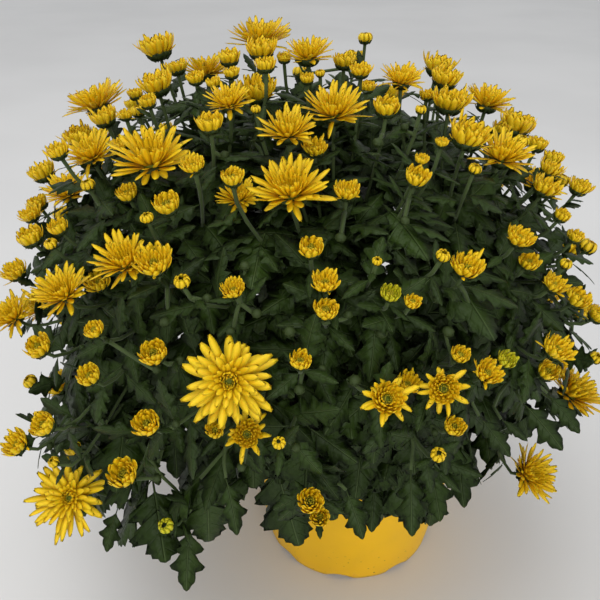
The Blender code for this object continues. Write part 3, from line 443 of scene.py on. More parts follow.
LEAF_TINT_STRAY = 0.2
SCENE_LEAF_CLEARANCE = 0.0012
SCENE_LOWEST_LEAF = 0.075

# Leaves up the stalks, as (share of the stalk, length)
STALK_LEAF_PLACES = (
    (0.28, 0.040), (0.41, 0.037), (0.53, 0.034), (0.63, 0.030), (0.73, 0.026), (0.82, 0.020), (0.91, 0.013),
)
STALK_LEAF_SPREAD = (math.radians(48), math.radians(78))
STALK_LEAF_TURNS = (0, 0.6, -0.6, 1.3, -1.3, 2.2, 3.1)
STALK_LEAF_LENGTHS = (0.85, 1.15)
STALK_LEAF_SIZES = (1.0, 0.8)
STALK_LEAF_RISE = 0.5
STALK_LEAF_LEAN = 0.05

# High on the dome a large leaf is a spray of smaller ones, as (share of its length, turn, size)
SPRAY_SHARES = ((0.0, 0.0, 0.86), (0.14, 0.95, 0.62), (0.16, -1.0, 0.60), (0.40, 0.75, 0.46))
SPRAY_ABOVE = 0.20
SPRAY_STRAY = 0.2
SPRAY_TILT = 0.25
SPRAY_SIZES = (0.9, 1.1)

# More leaves along the low shoots
SHOOT_LEAF_PLACES = (0.30, 0.50, 0.68, 0.84, 1.0)
SHOOT_LEAF_LENGTHS = (0.036, 0.058)
SHOOT_LEAF_TRIES = 12
SHOOT_LEAF_STRAY = 1.3
SHOOT_LEAF_OUTWARD = (0.3, 1.0)
SHOOT_LEAF_FALL = (0.1, 1.2)

# Large leaves on twigs deep between the stalks
FILL_TWIGS = 130
FILL_PHASE = 1.3
FILL_LOWEST = 0.05
FILL_SHARES = (0.60, 0.84)
FILL_LENGTHS = (0.048, 0.066)
FILL_TURNS = (0.0, 0.7, -0.7, 1.5, -1.5, 2.4, -2.4, 3.1)
FILL_SPREADS = (0.9, 1.45)

# Leaves at the outline: foot and tip in the photograph in pixels
OUTLINE_LEAVES = (
    (547, 393, 583, 431), (523, 403, 567, 447), (479, 416, 512, 456), (501, 419, 529, 440),
    (444, 462, 483, 476), (433, 468, 462, 491), (411, 470, 411, 537), (346, 490, 367, 538),
    (190, 524, 184, 592), (118, 508, 102, 551), (226, 478, 240, 535),
    (40, 436, 4, 452), (530, 300, 566, 330),
)
OUTLINE_LEAF_SHARE = 0.92
OUTLINE_LEAF_RISE = 0.3

# Stems and branches. A handle is how far a curve runs on at its end, in shares of its length
MAIN_STEM_RADII = (MAIN_STEM_RADIUS, MAIN_STEM_RADIUS * 0.9, 0.0030)
MAIN_STEM_IN_CORE = 0.006
MAIN_STEM_TIP = 0.012
BRANCH_RADII = (0.0024, 0.0015)
BRANCH_HANDLES = (0.30, 0.35)
FINE_STALK_RADII = (0.0014, 0.0010, 0.0010, 0.0012)
STALK_RISE = 0.35
STALK_HANDLES = (0.4, 0.28)
STALK_IN_HEAD = 0.10
TWIG_RADII = (0.0013, 0.0009)
TWIG_HANDLE = 0.4
TWIG_STRETCH = (0.0, 0.7)
BUD_TWIG_STRETCH = (0.25, 0.9)
CURVE_STEPS = 8
BUD_TWIG_STEPS = 7
TWIG_STEPS = 6
TUBE_SIDES = 6

# Pot: its fine form
FINE_POT_SIDES = 144
POT_ROUNDING = 0.0008
MOST_ROUNDING = 0.45
ROUNDING_STEPS = 4
ARCH_ROW = 0.012
DRAIN_SIDES = 24
SHARP_POT_ANGLE = math.radians(50)

# Soil: its lumps, and crumbs as (radius, height) in shares of their size
FINE_SOIL_SIDES = 84
FINE_SOIL_RINGS = 20
SOIL_LUMPS = 0.0022
SOIL_LUMP_SCALE = 130
SOIL_LUMP_FADE = 0.6
SOIL_LUMP_GAIN = 2.1
SOIL_LUMP_OCTAVES = 4
SOIL_EDGE_FADE = 0.006
SOIL_CRUMBS = 170
CRUMB_SIZES = (0.0012, 0.0034)
CRUMB_REACH = 0.97
CRUMB_TURNS = (0, 6.3)
CRUMB_RISE = 0.2
CRUMB_OUTLINE = ((0, -0.5), (0.8, -0.3), (1, 0.2), (0.5, 0.5), (0, 0.45))
CRUMB_SIDES = 6

# Grain of the finishes, as noise scales
STREAKS_ACROSS = 9.0
STREAKS_ALONG = 1.6
HEART_GRAIN = 900.0
LEAF_CELLS = 420.0
LEAF_PATCHES = 38.0
LEAF_PUCKERS = 150.0
LEAF_SIDE_VEINS = 19.0
STALK_FUR = 700.0
STALK_PATCHES = 60.0
BRACT_FUR = 800.0
POT_HAZE = 14.0
POT_SPECKS = 330.0
POT_RIPPLES = 240.0
SOIL_GRAIN = 260.0
SOIL_FIBRES = 90.0
FLOOR_CLOUDS = 1.6

# Dirt on the pot: specks low on the wall. Painted shade: a darker line round the foot, where the pot meets
# the floor
SPECK_COLOUR = (0.10, 0.055, 0.02)
FOOT_SHADE_COLOUR = (0.12, 0.08, 0.03)
SPECKS_BELOW = 0.045
FOOT_SHADE_BELOW = 0.004

# Stage
FLOOR_SIZE = 14.0
FLOOR_DROP = -0.0002
LIGHT_TARGET = (-0.03, 0.0, 0.20)
KEY_PLACE = (-0.5, -0.3, 2.2)
FILL_PLACE = (0.3, -1.9, 0.7)
WORLD_COLOUR = (0.95, 0.97, 1.0)
LENS = 42.0
SENSOR = 36.0


# Places on the photograph's sight lines and on the dome


def eye_axes():
    forward = Vector((0, math.cos(EYE_PITCH), -math.sin(EYE_PITCH)))
    return forward, Vector((1, 0, 0)), Vector((0, math.sin(EYE_PITCH), math.cos(EYE_PITCH)))


def sight_line(px, py):
    """Unit direction from the eye through a pixel of the photograph."""
    forward, side, up = eye_axes()
    across = side * (px - PHOTO_CENTRE_PX) - up * (py - PHOTO_CENTRE_PX)
    return (forward + across / PHOTO_FOCAL_PX).normalized()


def pixel_of(point):
    """Where the photograph shows a point."""
    forward, side, up = eye_axes()
    away = point - EYE
    scale = PHOTO_FOCAL_PX / away.dot(forward)
    return PHOTO_CENTRE_PX + away.dot(side) * scale, PHOTO_CENTRE_PX - away.dot(up) * scale


def dome_normal(point):
    away = point - DOME_CENTRE
    return Vector((away.x / DOME_RADIUS**2, away.y / DOME_RADIUS**2, away.z / DOME_RISE**2)).normalized()


def dome_point(azimuth, sine, share=1.0):
    """The point of the dome at an azimuth and at the sine of an elevation, or a share of the way to it."""
    level = math.sqrt(max(0.0, 1.0 - sine * sine)) * DOME_RADIUS
    away = Vector((level * math.cos(azimuth), level * math.sin(azimuth), sine * DOME_RISE))
    return DOME_CENTRE + away * share


def on_dome(px, py, share=1.0):
    """Where the sight line of a pixel meets the dome, or passes closest beside it."""
    line = sight_line(px, py)
    scale = Vector((1 / DOME_RADIUS, 1 / DOME_RADIUS, 1 / DOME_RISE)) / share
    start = Vector(a * b for a, b in zip(EYE - DOME_CENTRE, scale))
    step = Vector(a * b for a, b in zip(line, scale))
    half_b = start.dot(step)
    inside = max(0.0, half_b**2 - step.length_squared * (start.length_squared - 1.0))
    return EYE + line * ((-half_b - math.sqrt(inside)) / step.length_squared)


def lattice_sine(k, count, lowest):
    """Sine of the elevation of one of several places that lie evenly over the dome, down to the lowest."""
    return 1.0 - (k + 0.5) / count * (1.0 - lowest)


def faces_away(point):
    """True on the side of the dome that the photograph doesn't show."""
    return dome_normal(point).dot((EYE - point).normalized()) < FAR_FACING


def outward_and_down(point):
    """The way out of the dome at a point, and the way down along it there."""
    out = dome_normal(point)
    outward = Vector((out.x, out.y, 0)) - UP * CANOPY_FALL
    return out, (outward - out * outward.dot(out)).normalized()


def growing_way(point, draw):
    """The way that something grows at a point of the dome: outwards and upwards, with a small lean."""
    lean = Vector((draw.uniform(-1, 1), draw.uniform(-1, 1), draw.uniform(-1, 1))) * STRAY_LEAN
    return (dome_normal(point) + UP * UPWARD_LEAN + lean).normalized()


def stem_azimuth(stem):
    return (stem + 0.5) * 2 * math.pi / OUTER_STEMS


def level_unit(azimuth):
    return Vector((math.cos(azimuth), math.sin(azimuth), 0))


def region_planes(stem):
    """Planes, as (inward normal, distance), that bound one stem's part of the dome."""
    if stem == OUTER_STEMS:
        return [(-level_unit(stem_azimuth(k)), -MIDDLE_APOTHEM) for k in range(OUTER_STEMS)]
    middle = stem_azimuth(stem)
    twelfth = math.pi / OUTER_STEMS
    return [
        (level_unit(middle), MIDDLE_APOTHEM),
        (level_unit(middle - twelfth + math.pi / 2), 0.0),
        (level_unit(middle + twelfth - math.pi / 2), 0.0),
    ]


REGIONS = [region_planes(k) for k in range(OUTER_STEMS + 1)]


def room(point, stem):
    """Distance from a point to the nearest boundary of a stem's part, negative outside it."""
    return min((point - PLANT_AXIS).dot(normal) - distance for normal, distance in REGIONS[stem])


def stem_under(point):
    return max(range(OUTER_STEMS + 1), key=lambda k: room(point, k))


def kept_in(point, stem, margin):
    """The point, moved as little as needed to lie inside a stem's part."""
    for _ in range(PARTS_THAT_MEET):
        for normal, distance in REGIONS[stem]:
            short = margin - ((point - PLANT_AXIS).dot(normal) - distance)
            if short > 0:
                point = point + normal * short
    return point


def root_of(stem):
    return PLANT_AXIS + (Vector() if stem == OUTER_STEMS else level_unit(stem_azimuth(stem)) * ROOT_CIRCLE)


def core_reach(azimuth, height):
    """Distance from the plant's axis to the side of the core."""
    share = math.sqrt(CORE_SHARE**2 - ((height - DOME_CENTRE.z) / DOME_RISE) ** 2)
    away = PLANT_AXIS - Vector((DOME_CENTRE.x, DOME_CENTRE.y, 0))
    along = away.dot(level_unit(azimuth))
    return math.sqrt(along**2 - away.length_squared + (DOME_RADIUS * share) ** 2) - along


def on_core_top(point):
    """The point raised to the top of the core."""
    away = point - DOME_CENTRE
    share = math.sqrt(CORE_SHARE**2 - (away.x**2 + away.y**2) / DOME_RADIUS**2)
    return Vector((point.x, point.y, DOME_CENTRE.z + DOME_RISE * share))


def core_corners(stem):
    """Corners of the dense middle of one stem's foliage."""
    twelfth = math.pi / OUTER_STEMS
    if stem == OUTER_STEMS:
        azimuths = [2 * k * twelfth for k in range(OUTER_STEMS)]
    else:
        azimuths = [stem_azimuth(stem) + side * twelfth for side in (-1, 1)]
    corner_reach = MIDDLE_APOTHEM / math.cos(twelfth)
    inner = [kept_in(PLANT_AXIS + level_unit(a) * corner_reach, stem, STEM_GAP) for a in azimuths]
    corners = [p + UP * CORE_FOOT for p in inner] + [on_core_top(p) for p in inner]
    if stem == OUTER_STEMS:
        return [*corners, on_core_top(PLANT_AXIS)]
    for level in CORE_LEVELS:
        height = DOME_CENTRE.z + DOME_RISE * CORE_SHARE * level
        for turn in (-twelfth, 0, twelfth):
            azimuth = stem_azimuth(stem) + turn
            side = PLANT_AXIS + level_unit(azimuth) * core_reach(azimuth, height) + UP * height
            corners.append(kept_in(side, stem, STEM_GAP))
    return corners


CORES = [core_corners(k) for k in range(OUTER_STEMS + 1)]
CORE_MIDDLES = [sum(corners, Vector()) / len(corners) for corners in CORES]


def side_axes(axis):
    """Two unit vectors square to an axis and to each other."""
    u = axis.cross(UP if abs(axis.z) < NEARLY_UPRIGHT else Vector((1, 0, 0))).normalized()
    return u, axis.cross(u).normalized()


# Places of the flower heads


class Head:
    """One flower head: its place, the way that it faces, its radius, and the stem that carries it."""

    def __init__(self, kind, point, radius, turned_to_eye, draw):
        grows = growing_way(point, draw)
        self.kind = kind
        self.radius = radius
        self.tall = radius * HEAD_DEPTHS[kind]
        self.facing = grows.lerp((EYE - point).normalized(), turned_to_eye).normalized()
        self.turn = draw.uniform(0, 2 * math.pi)
        self.young = False

    def put_at(self, point):
        base = point - self.facing * (self.tall * 0.5)
        self.stem = stem_under(base)
        self.base = kept_in(base, self.stem, HEAD_MARGIN)
        self.middle = self.base + self.facing * (self.tall * HEAD_MIDDLE)

    def clear_of(self, points, margin):
        """True if none of the points is in the flattened ball that this head fills."""
        away = points - np.array(self.middle)
        along = away @ np.array(self.facing)
        across = (away**2).sum(1) - along**2
        wide = self.radius * HEAD_WIDTH + margin
        deep = self.tall * HEAD_HALF_DEPTH + margin
        return bool((across / wide**2 + (along / deep) ** 2 >= 1).all())

    def outside(self):
        """Points on the outside of this head, to test against another."""
        u, v = side_axes(self.facing)
        angles = [k * 2 * math.pi / HEAD_TEST_SIDES for k in range(HEAD_TEST_SIDES)]
        spokes = [u * math.cos(a) + v * math.sin(a) for a in angles]
        points = [
            self.base + self.facing * (self.tall * z) + spoke * (self.radius * r)
            for r, z in HEAD_TEST_RINGS
            for spoke in spokes
        ]
        return np.array([*points, self.base, self.middle])


def stalk_points(fork, base):
    """Points along a stalk between its foot in the core and its head."""
    return np.array([fork.lerp(base, share) for share in np.linspace(*STALK_TESTED, STALK_TEST_POINTS)])


def find_fork(head, heads):
    """Where a head's stalk leaves its leafy stem, deep in the dome, so that no other head is in its way."""
    middle = CORE_MIDDLES[head.stem]
    for shift in FORK_SHIFTS:
        wish = middle.lerp(head.base, FORK_SHARE) + Vector(shift) * FORK_REACH
        fork = kept_in(wish, head.stem, FORK_MARGIN)
        points = stalk_points(fork, head.base)
        if all(other.clear_of(points, STALK_RADIUS + STALK_CLEARANCE) for other in heads):
            return fork
    return None


def place_head(heads, head, line_point):
    """Lifts or sinks a head until it and its stalk are clear of the heads already placed."""
    for share in LIFT_STEPS:
        head.put_at(line_point(share))
        outside = head.outside()
        reach = head.radius + HEADS_NEAR
        near = [other for other in heads if (other.base - head.base).length < other.radius + reach]
        if not all(
            other.clear_of(outside, HEAD_CLEARANCE) and head.clear_of(other.outside(), HEAD_CLEARANCE)
            for other in near
        ):
            continue
        if not all(head.clear_of(other.stalk, STALK_RADIUS) for other in heads):
            continue
        head.fork = find_fork(head, heads)
        if head.fork:
            head.stalk = stalk_points(head.fork, head.base)
            heads.append(head)
            return True
    return False


def seen_heads(heads, draw):
    forward, _, _ = eye_axes()
    for kind, rows in (("open", OPEN_HEADS), ("half", HALF_HEADS), ("cup", CUP_HEADS), ("bud", BUD_HEADS)):
        for px, py, width_px, *turned_to_eye in rows:
            point = on_dome(px, py)
            radius = 0.5 * width_px / PHOTO_FOCAL_PX * (point - EYE).dot(forward)
            head = Head(kind, point, radius, sum(turned_to_eye), draw)
            place_head(heads, head, lambda share, x=px, y=py: on_dome(x, y, share))


def far_heads(heads, draw):
    for k in range(FAR_LATTICE):
        sine = lattice_sine(k, FAR_LATTICE, FAR_LOWEST)
        azimuth = k * GOLDEN_ANGLE + draw.uniform(-FAR_JITTER, FAR_JITTER)
        point = dome_point(azimuth, sine)
        pick = draw.random()
        kind = next(name for name, share in FAR_KINDS if pick <= share)
        head = Head(kind, point, 0.5 * FAR_DIAMETERS[kind] * draw.uniform(*FAR_SIZES), 0.0, draw)
        if faces_away(point):
            place_head(heads, head, lambda share, a=azimuth, s=sine: dome_point(a, s, share))


def all_heads():
    draw = random.Random(SEED)
    heads = []
    seen_heads(heads, draw)
    far_heads(heads, draw)
    return heads


# Places of the leaves


class Leaf:
    """One leaf: its stem, foot, direction of its rib, upper side and length."""

    def __init__(self, stem, foot, along, upper, length):
        self.stem = stem
        self.foot = foot
        self.along = along.normalized()
        self.upper = (upper - self.along * upper.dot(self.along)).normalized()
        self.across = self.upper.cross(self.along)
        self.length = length

    def point(self, x, y):
        """A point of the blade, x along the rib and y across it, in shares of the length."""
        drop = LEAF_ARCH * x * x + LEAF_FOLD * abs(y) ** LEAF_FOLD_CURVE
        flat = self.foot + (self.along * x + self.across * y) * self.length
        return flat - self.upper * (drop * self.length)

    def outline(self):
        right = [self.point(x, y) for x, y in LEAF_HALF_OUTLINE]
        left = [self.point(x, -y) for x, y in LEAF_HALF_OUTLINE]
        return [self.point(0, 0), *right, self.point(1, 0), *reversed(left)]

    def test_points(self):
        rim = self.outline()[1:]
        rib = [self.point(x, 0) for x in LEAF_RIB]
        edges = [(a + b) / 2 for a, b in zip(rim, rim[1:])]
        return rim + rib + edges + [(a + b) / 2 for a in rib for b in rim]


def skirt_height(px):
    """Lower edge of the foliage in the photograph at a column of it."""
    xs, ys = zip(*SKIRT_LINE)
    return float(np.interp(px, xs, ys))


def hangs_too_low(point):
    px, py = pixel_of(point)
    return py > skirt_height(px)


def wall_radius(height):
    """Outer radius of the pot's wall at a height."""
    return POT_FOOT_RADIUS + (POT_MOUTH_RADIUS - POT_FOOT_RADIUS) * height / POT_HEIGHT


def meets_pot(point):
    radius = wall_radius(min(POT_HEIGHT, point.z)) + RIM_OVERHANG + POT_CLEARANCE
    return point.z < SOIL_TOP + OVER_SOIL and math.hypot(point.x, point.y) < radius


def leaf_fits(leaf, heads):
    points = leaf.test_points()
    if min(room(p, leaf.stem) for p in points) < STEM_GAP:
        return False
    if any(p.z < LEAF_LOWEST or meets_pot(p) or hangs_too_low(p) for p in points):
        return False
    cloud = np.array(points)
    near = [head for head in heads if (head.base - leaf.foot).length < LEAF_NEAR]
    return all(head.clear_of(cloud, LEAF_CLEARANCE) for head in near)


def crowding(leaf, leaves, heads):
    """How many points of this leaf come close to other leaves and stalks of its stem."""
    cloud = np.array(leaf.test_points())
    beside = [other for other in leaves if other.stem == leaf.stem]
    clouds = [other.cloud for other in beside if (other.foot - leaf.foot).length < LEAF_NEAR]
    clouds += [head.stalk for head in heads if head.stem == leaf.stem]
    gaps = [np.linalg.norm(cloud[:, None] - other[None], axis=2).min(1) for other in clouds]
    return sum(int((gap < LEAF_CROWDED).sum()) for gap in gaps)


def add_best(leaves, candidates, heads):
    """Adds the least crowded of the candidate leaves that clear everything."""
    fitting = [leaf for leaf in candidates if leaf_fits(leaf, heads)]
    if not fitting:
        return None
    best = min(fitting, key=lambda leaf: crowding(leaf, leaves, heads))
    best.cloud = np.array(best.test_points())
    leaves.append(best)
    return best


def canopy_leaves(heads, leaves):
    """Large leaves that stand out of the cores all over the dome, outwards and down before any other way."""
    draw = random.Random(CANOPY_SEED)
    for k in range(CANOPY_LEAVES):
        foot = dome_point(k * GOLDEN_ANGLE, lattice_sine(k, CANOPY_LEAVES, CANOPY_LOWEST), CANOPY_FOOT_SHARE)
        stem = stem_under(foot)
        foot = kept_in(foot, stem, CANOPY_MARGIN)
        out, down = outward_and_down(foot)
        length = draw.uniform(*LEAF_LENGTHS)
        spread = draw.uniform(*CANOPY_SPREADS)
        jitter = draw.uniform(-CANOPY_JITTER, CANOPY_JITTER)
        candidates = [
            Leaf(
                stem,
                foot,
                Matrix.Rotation(turn + jitter, 3, out) @ down * math.sin(spread) + out * math.cos(spread),
                out + UP * UPWARD_LEAN,
                length * size,
            )
            for size in CANOPY_SIZES
            for turn in LEAF_TURNS
        ]
        add_best(leaves, candidates, heads)


def add_shoot_leaf(shoots, leaves, heads, end, azimuth, outward, lengths, draw):
    """A shoot from the core to a place at the foot of the dome, with a leaf that hangs from its end."""
    stem = stem_under(end)
    end = kept_in(end, stem, SHOOT_MARGIN)
    start = CORE_MIDDLES[stem].lerp(end, SHOOT_START)
    start.z = max(start.z, CORE_FOOT + SHOOT_MARGIN)
    foot = end - (end - start).normalized() * LEAF_OVERLAP
    candidates = []
    for attempt in range(SHOOT_TRIES):
        lean = level_unit(azimuth + draw.uniform(-SHOOT_STRAY, SHOOT_STRAY))
        along = lean * draw.uniform(*outward) - UP * draw.uniform(*SHOOT_FALL)
        length = draw.uniform(*lengths) * (1 - SHOOT_SHRINK * attempt)
        candidates.append(Leaf(stem, foot, along, lean + UP * UPWARD_LEAN, length))
    leaf = add_best(leaves, candidates, heads)
    if leaf:
        shoots.append((start, end, leaf))


def low_shoots(heads, leaves):
    """Shoots with hanging leaves, round the foot of the dome and close to the pot, as (start, end, leaf)."""
    draw = random.Random(SHOOT_SEED)
    shoots = []
    for k in range(SKIRT_SHOOTS):
        azimuth = (k + 0.5) * 2 * math.pi / SKIRT_SHOOTS + draw.uniform(-SKIRT_JITTER, SKIRT_JITTER)
        end = dome_point(azimuth, draw.uniform(*SKIRT_SINES), draw.uniform(*SKIRT_REACH))
        add_shoot_leaf(shoots, leaves, heads, end, azimuth, SKIRT_OUTWARD, SKIRT_LEAF_LENGTHS, draw)
    for k in range(COLLAR_SHOOTS):
        azimuth = (k + COLLAR_PHASE) * 2 * math.pi / COLLAR_SHOOTS
        azimuth += draw.uniform(-COLLAR_JITTER, COLLAR_JITTER)
        end = level_unit(azimuth) * COLLAR_REACH + UP * (CORE_FOOT + draw.uniform(*COLLAR_LIFT))
        add_shoot_leaf(shoots, leaves, heads, end, azimuth, COLLAR_OUTWARD, COLLAR_LEAF_LENGTHS, draw)
    return shoots


def head_turn(head):
    u, v = side_axes(head.facing)
    frame = Matrix((u, v, head.facing)).transposed().to_4x4()
    return frame @ Matrix.Rotation(head.turn, 4, "Z")


def head_matrix(head):
    return Matrix.Translation(head.base) @ head_turn(head)


# Meshes


class Gatherer:
    """Points and faces of one piece. Each point keeps its place on its blade, its side and a tint."""

    def __init__(self):
        self.points = []
        self.marks = []
        self.faces = []
        self.finishes = []
        self.count = 0

    def add(self, points, faces, finish=0, along=0.0, across=0.0, side=0.0, tint=0.5):
        points = np.asarray(points, float).reshape(-1, 3)
        marks = np.zeros((len(points), 4))
        for column, values in enumerate((along, across, side, tint)):
            marks[:, column] = values
        self.points.append(points)
        self.marks.append(marks)
        self.faces.append(np.asarray(faces) + self.count)
        self.finishes.append(np.full(len(faces), finish))
        self.count += len(points)

    def object(self, name, finishes):
        """The gathered mesh as a smooth shaded object. A face of three corners repeats its last one."""
        mesh = bpy.data.meshes.new(name)
        points = np.concatenate(self.points)
        faces = np.concatenate(self.faces)
        corners = np.where(faces[:, 2] == faces[:, 3], 3, 4)
        kept = np.ones(faces.shape, bool)
        kept[:, 3] = corners == 4
        loops = faces[kept]
        mesh.vertices.add(len(points))
        mesh.vertices.foreach_set("co", points.astype(np.float32).ravel())
        mesh.loops.add(len(loops))
        mesh.loops.foreach_set("vertex_index", loops.astype(np.int32))
        mesh.polygons.add(len(faces))
        mesh.polygons.foreach_set("loop_start", (np.cumsum(corners) - corners).astype(np.int32))
        mesh.polygons.foreach_set("material_index", np.concatenate(self.finishes).astype(np.int32))
        mesh.update(calc_edges=True)
        mesh.validate()
        mesh.shade_smooth()
        marks = np.concatenate(self.marks).astype(np.float32)
        for column, label in enumerate(("along", "across", "side", "tint")):
            attribute = mesh.attributes.new(label, "FLOAT", "POINT")
            attribute.data.foreach_set("value", marks[:, column].copy())
        for finish in finishes:
            mesh.materials.append(finish)
        obj = bpy.data.objects.new(name, mesh)
        bpy.context.scene.collection.objects.link(obj)
        return obj


def grid_faces(index, closed=False):
    """Faces between the rows and columns of an index grid, wound so that rows cross columns upwards."""
    if closed:
        index = np.concatenate([index, index[:, :1]], axis=1)
    return np.stack([index[:-1, :-1], index[1:, :-1], index[1:, 1:], index[:-1, 1:]], -1).reshape(-1, 4)


@functools.lru_cache(maxsize=None)
def blade_faces(rows, columns):
    """Faces of a closed blade: an upper grid, and a lower one that shares its border."""
    upper = np.arange(rows * columns).reshape(rows, columns)
    lower = upper.copy()
    lower[1:-1, 1:-1] = rows * columns + np.arange((rows - 2) * (columns - 2)).reshape(rows - 2, columns - 2)
    return np.concatenate([grid_faces(upper), grid_faces(lower)[:, ::-1]])


def turned(gatherer, outline, sides, place=None, finish=0, tint=0.5):
    """Turns an outline of (radius, height) about the local Z axis. An end on the axis is a single point."""
    angles = np.arange(sides) * 2 * math.pi / sides
    points, rows = [], []
    for radius, height in outline:
        at = len(points)
        if radius == 0:
            points.append((0, 0, height))
            rows.append(np.full(sides, at))
        else:
            points.extend((radius * math.cos(a), radius * math.sin(a), height) for a in angles)
            rows.append(np.arange(at, at + sides))
    faces = []
    for low, high in zip(rows, rows[1:]):
        low_next, high_next = np.roll(low, -1), np.roll(high, -1)
        if low[0] == low[1]:
            faces.append(np.stack([low, high_next, high, high], -1))
        elif high[0] == high[1]:
            faces.append(np.stack([low, low_next, high, high], -1))
        else:
            faces.append(np.stack([low, low_next, high_next, high], -1))
    points = np.array(points, float)
    if place is not None:
        points = points @ np.array(place.to_3x3()).T + np.array(place.translation)
    gatherer.add(points, np.concatenate(faces), finish, tint=tint)


def scaled(outline, size):
    return [(radius * size, height * size) for radius, height in outline]


def bezier(ends, handles, steps=CURVE_STEPS):
    """Points along a cubic curve."""
    t = np.linspace(0, 1, steps)[:, None]
    a, d = (np.array(p) for p in ends)
    b, c = (np.array(p) for p in handles)
    return (1 - t) ** 3 * a + 3 * (1 - t) ** 2 * t * b + 3 * (1 - t) * t**2 * c + t**3 * d


def tube(gatherer, path, radii):
    """A closed round tube along a path, from the first radius to the last."""
    path = np.asarray(path, float)
    steps = len(path)
    runs = np.gradient(path, axis=0)
    runs /= np.linalg.norm(runs, axis=1)[:, None]
    side = np.cross(runs[0], (0, 0, 1) if abs(runs[0][2]) < NEARLY_UPRIGHT else (1, 0, 0))
    angles = np.arange(TUBE_SIDES) * 2 * math.pi / TUBE_SIDES
    cosines, sines = np.cos(angles), np.sin(angles)
    shares = np.linspace(0, 1, steps)
    radius = np.interp(shares, np.linspace(0, 1, len(radii)), radii)
    rings = []
    for k in range(steps):
        side = side - runs[k] * side.dot(runs[k])
        side /= np.linalg.norm(side)
        other = np.cross(runs[k], side)
        rings.append(path[k] + radius[k] * (np.outer(cosines, side) + np.outer(sines, other)))
    points = np.concatenate([*rings, path[:1], path[-1:]])
    index = np.arange(steps * TUBE_SIDES).reshape(steps, TUBE_SIDES)
    first, last = index.size, index.size + 1
    low, high = index[0], index[-1]
    low_next, high_next = np.roll(low, -1), np.roll(high, -1)
    faces = [
        grid_faces(index, True)[:, ::-1],
        np.stack([np.full(TUBE_SIDES, first), low_next, low, low], -1),
        np.stack([np.full(TUBE_SIDES, last), high, high_next, high_next], -1),
    ]
    along = np.concatenate([np.repeat(shares, TUBE_SIDES), [0, 1]])
    gatherer.add(points, np.concatenate(faces), along=along)


# Petals and bracts


def petal_width(u):
    """Half width of a petal at shares of its length: a strap, narrow at the root, with a blunt tip."""
    widening = np.sin(np.clip(u / PETAL_WIDE_AT, 0, 1) * math.pi / 2)
    body = PETAL_ROOT_WIDTH + (1 - PETAL_ROOT_WIDTH) * widening
    past = np.clip((u - PETAL_TIP_FROM) / (1 - PETAL_TIP_FROM), 0, 1)
    tip = (1 - past**PETAL_TIP_CURVE) ** PETAL_TIP_BLUNTNESS
    return body * np.maximum(tip, PETAL_TIP_WIDTH)


def bract_width(u):
    return np.clip(BRACT_FULLNESS - u, 0, 1) ** BRACT_CURVE


def stray_slopes(slope, stray, ring, draw):
    """Slopes of a ring's petals in radians, each a little off."""
    steady, uneven = stray
    return math.radians(slope) + draw.normal(0, steady + uneven * ring.uneven, ring.count)


